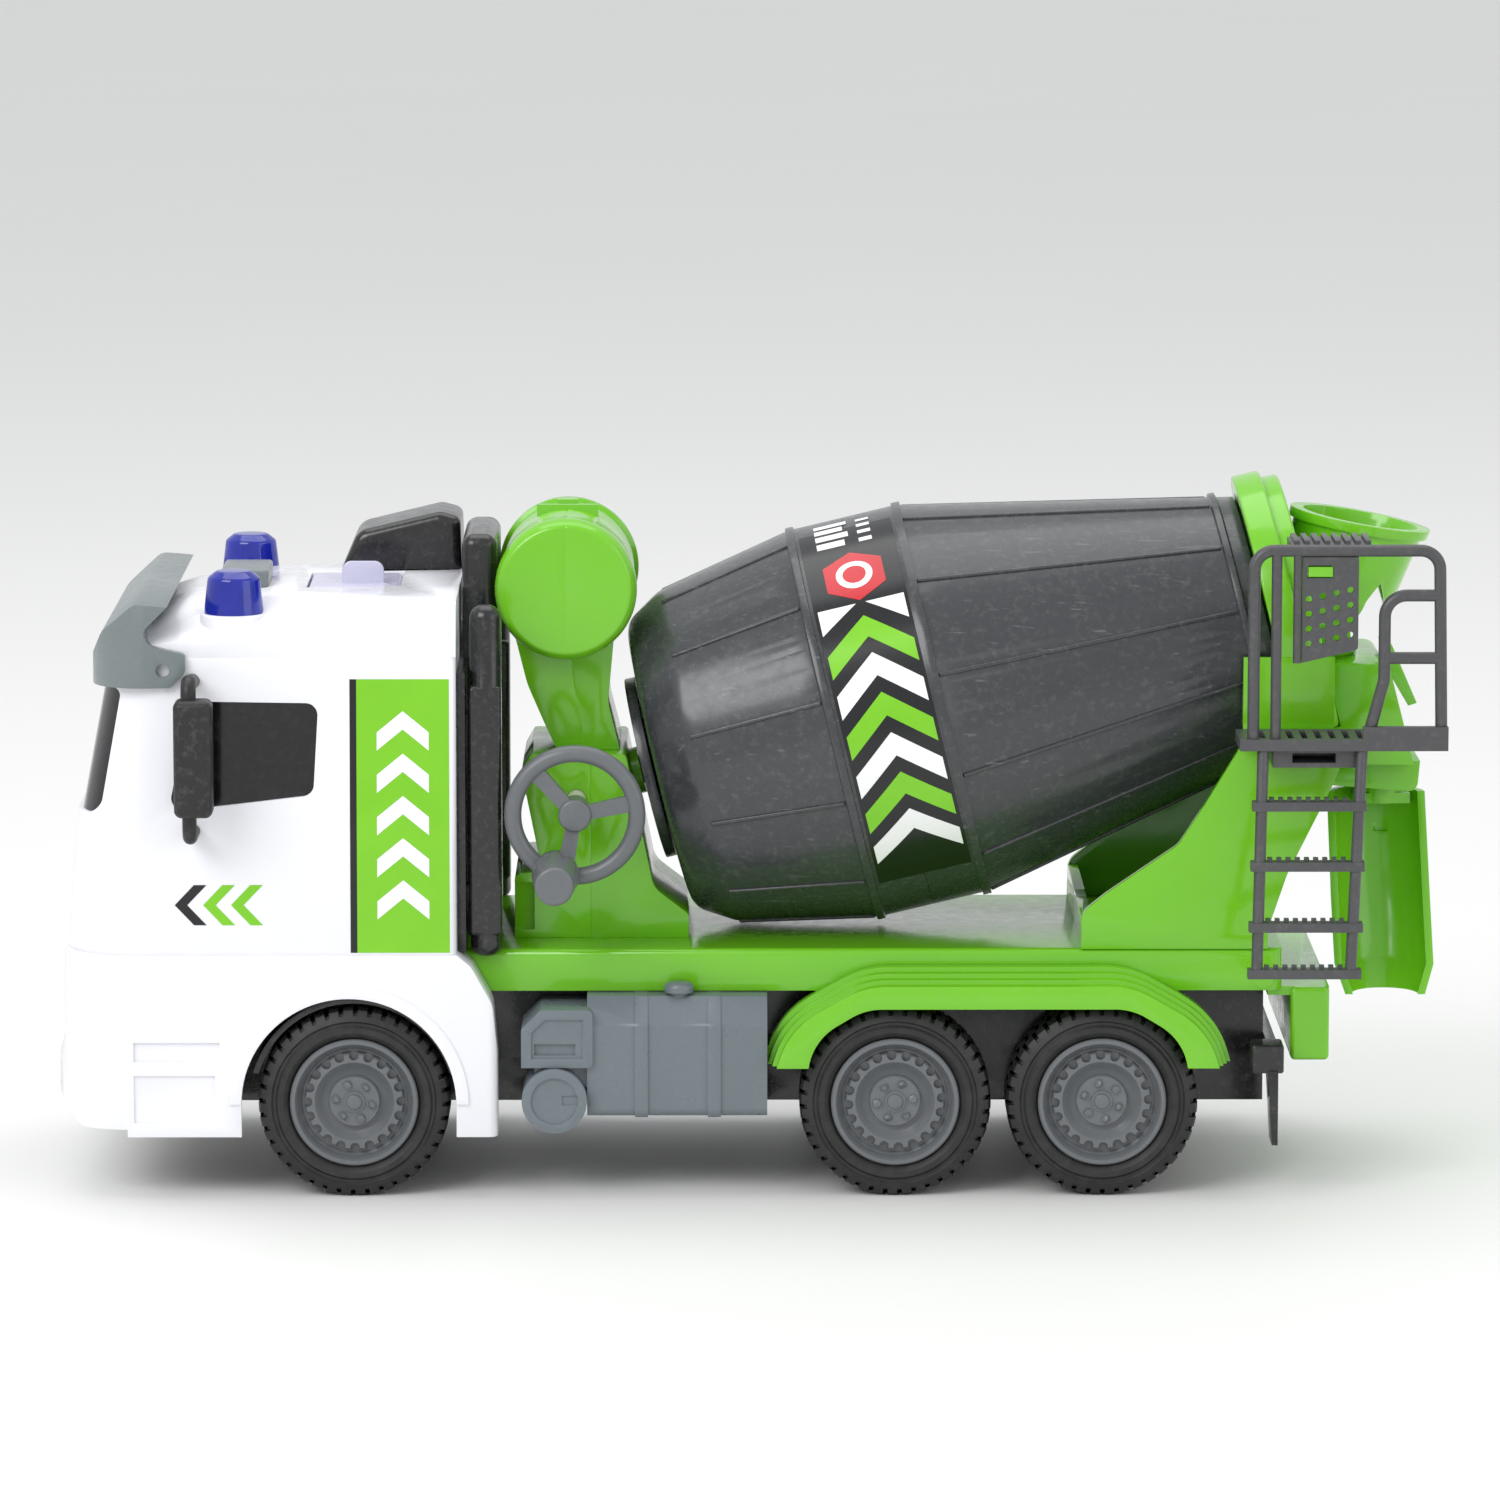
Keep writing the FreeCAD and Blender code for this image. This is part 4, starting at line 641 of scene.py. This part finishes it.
def makeCabArt():
    flat = []
    x0, x1 = cabArt["stickerFrom"], cabArt["stickerTo"]
    for low, high in ((cabArt["low"], cabArt["belt"]), (cabArt["belt"], cabArt["high"])):
        flat.append(("sideSticker", "greenFilm", [(x0, low), (x1, low), (x1, high), (x0, high)], 0.02))
        flat.append(("stickerEdge", "blackFilm", [(x0 - cabArt["edge"], low), (x0, low), (x0, high),
                                                  (x0 - cabArt["edge"], high)], 0.02))
    middle, half = (x0 + x1) / 2, cabArt["arrowHalf"]
    rise, stroke = cabArt["arrowRise"], cabArt["arrowStroke"]
    for k in range(cabArt["arrows"]):
        z = cabArt["arrowLow"] + k * cabArt["arrowPitch"]
        flat.append(("sideArrow", "whiteFilm", [(middle - half, z), (middle, z + rise), (middle + half, z),
                                                (middle + half, z + stroke), (middle, z + rise + stroke),
                                                (middle - half, z + stroke)], 0.1))
    z = cabArt["doorArrowZ"]
    for k, x in enumerate(cabArt["doorArrowX"]):
        flat.append(("doorArrow", "blackFilm" if k == 0 else "greenFilm",
                     [(x, z), (x + 4.0, z + 4.2), (x + 6.6, z + 4.2), (x + 2.6, z), (x + 6.6, z - 4.2),
                      (x + 4.0, z - 4.2)], 0.02))
    for name, film, outline, lift in flat:
        left = plate(name, outline, cabPlace, lift, 0.06)
        right = copyOf(left, mirrorAcross, name + "Right")
        for piece in (left, right):
            paint(piece, film)
            settle(piece, "chassis")


makeCabArt()
print("cab stickers laid")


# Which finish each moulding has, and how far its edges are broken in millimetres.
finishes = {
    "limeGreenAbs": ("green_plastic", 0.35, ["deck", "rear_fender_left", "rear_fender_right", "rear_stand_left",
                                             "rear_stand_right", "mouth_ring", "hopper", "discharge_hood",
                                             "chute_bracket", "chute", "water_tank_front", "water_tank_rear",
                                             "stand_front", "stand_rear"]),
    "whiteAbs": ("white_plastic", 0.4, ["cab_upper", "cab_lower", "cab_roof"]),
    "charcoalPolypropylene": ("drum_grey_plastic", 0.35, ["drum_front_shell", "drum_rear_shell", "drum_gear"]),
    "gearAcetal": ("drum_grey_plastic", 0.0, ["crank_shaft"]),
    "slateGreyAbs": ("tank_grey_plastic", 0.35, ["fuel_tank_left", "fuel_tank_right"]),
    "hubGreyAbs": ("hub_grey_plastic", 0.2, ["front_axle_hubs", "mid_axle_hubs", "rear_axle_hubs", "handwheel",
                                             "handwheel_knob"]),
    "railGreyNylon": ("rail_grey_plastic", 0.2, ["platform_floor", "guard_rail", "access_ladder", "step_panel"]),
    "blackAbs": ("black_plastic", 0.3, ["chassis_frame", "battery_door", "tail_light_bar", "grille", "cab_rack",
                                        "roof_scoop", "exhaust_left", "exhaust_right", "speaker"]),
    "softBlackVinyl": ("soft_black_plastic", 0.0, ["mirror_left", "mirror_right"]),
    "brownGreyAbs": ("visor_grey_plastic", 0.4, ["sun_visor", "roof_box"]),
    "smokedBlackAcrylic": ("window_black_plastic", 0.0, ["windscreen", "side_window_left", "side_window_right"]),
    "bluePolystyrene": ("blue_lens_plastic", 0.0, ["beacon_lens_left", "beacon_lens_right"]),
    "clearEpoxy": ("clear_led_plastic", 0.0, ["beacon_leds"]),
    "lavenderPolystyrene": ("button_plastic", 0.25, ["sound_button"]),
    "tyreVinyl": ("tyre_rubber", 0.0, ["front_axle_tyres", "mid_axle_tyres", "rear_axle_tyres"]),
    "drawnSteel": ("axle_steel", 0.0, ["front_axle_pin", "mid_axle_pin", "rear_axle_pin", "chassis_screws"]),
    "glassEpoxyBoard": ("circuit_board_laminate", 0.0, ["circuit_board"]),
}
for materialName, (slotName, edgeMm, nodes) in finishes.items():
    for node in nodes:
        if node in remodelled:
            continue
        skin = finishedCopy(node, edgeMm)
        paint(skin, materialName)
        settle(skin, bodyOf[node])
        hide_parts(node)
print("mouldings finished")


studio = {"floorColour": "#E9E9E7", "keyWatts": 10.0, "fillWatts": 2.6, "topWatts": 6.0, "world": 0.88}


def addFloor():
    bpy.ops.mesh.primitive_plane_add(size=9.0, location=(0.0, 0.0, 0.0))
    floor = bpy.context.active_object
    floor.name = "studioFloor"
    bpy.ops.object.mode_set(mode="EDIT")
    bpy.ops.mesh.subdivide(number_cuts=3)
    bpy.ops.object.mode_set(mode="OBJECT")
    # matt painted board, very slightly uneven
    material, tree, surface, place = startMaterial("paleBoard")
    mottle = addNode(tree, "ShaderNodeTexNoise", {"Scale": 4.0, "Detail": 4.0}, {"Vector": place})
    colour = addNode(tree, "ShaderNodeMix", {"A": srgb("#E6E6E4"), "B": srgb(studio["floorColour"])},
                     {"Factor": mottle.outputs["Fac"]}, data_type="RGBA")
    tree.links.new(colour.outputs["Result"], surface.inputs["Base Color"])
    surface.inputs["Roughness"].default_value = 0.55
    floor.data.materials.append(material)


def addSoftbox(name, watts, size, place, target):
    bpy.ops.object.light_add(type="AREA", location=place)
    light = bpy.context.active_object
    light.name = name
    light.data.energy = watts
    light.data.shape = "RECTANGLE"
    light.data.size, light.data.size_y = size
    aim = Vector(target) - Vector(place)
    light.rotation_euler = aim.to_track_quat("-Z", "Y").to_euler()


addFloor()
addSoftbox("keySoftbox", studio["keyWatts"], (0.9, 0.7), (-0.75, -0.95, 0.95), (0.0, 0.0, 0.07))
addSoftbox("fillSoftbox", studio["fillWatts"], (0.9, 0.9), (1.1, -0.7, 0.5), (0.0, 0.0, 0.07))
addSoftbox("topSoftbox", studio["topWatts"], (1.2, 0.9), (0.0, 0.25, 1.25), (0.0, 0.0, 0.05))
world = bpy.data.worlds.new("studioWorld")
bpy.context.scene.world = world
world.use_nodes = True
world.node_tree.nodes["Background"].inputs["Color"].default_value = srgb("#F4F5F7")
world.node_tree.nodes["Background"].inputs["Strength"].default_value = studio["world"]

bpy.ops.object.camera_add(location=(-0.00708, -1.65294, 0.34286),
                          rotation=(math.radians(90 - 8.774), 0.0, math.radians(-0.252)))
camera = bpy.context.active_object
camera.name = "studioCamera"
camera.data.lens = 188.6
camera.data.sensor_width = 36.0
camera.data.clip_end = 50.0
bpy.context.scene.camera = camera
bpy.context.scene.view_settings.view_transform = "Standard"
print("studio ready")
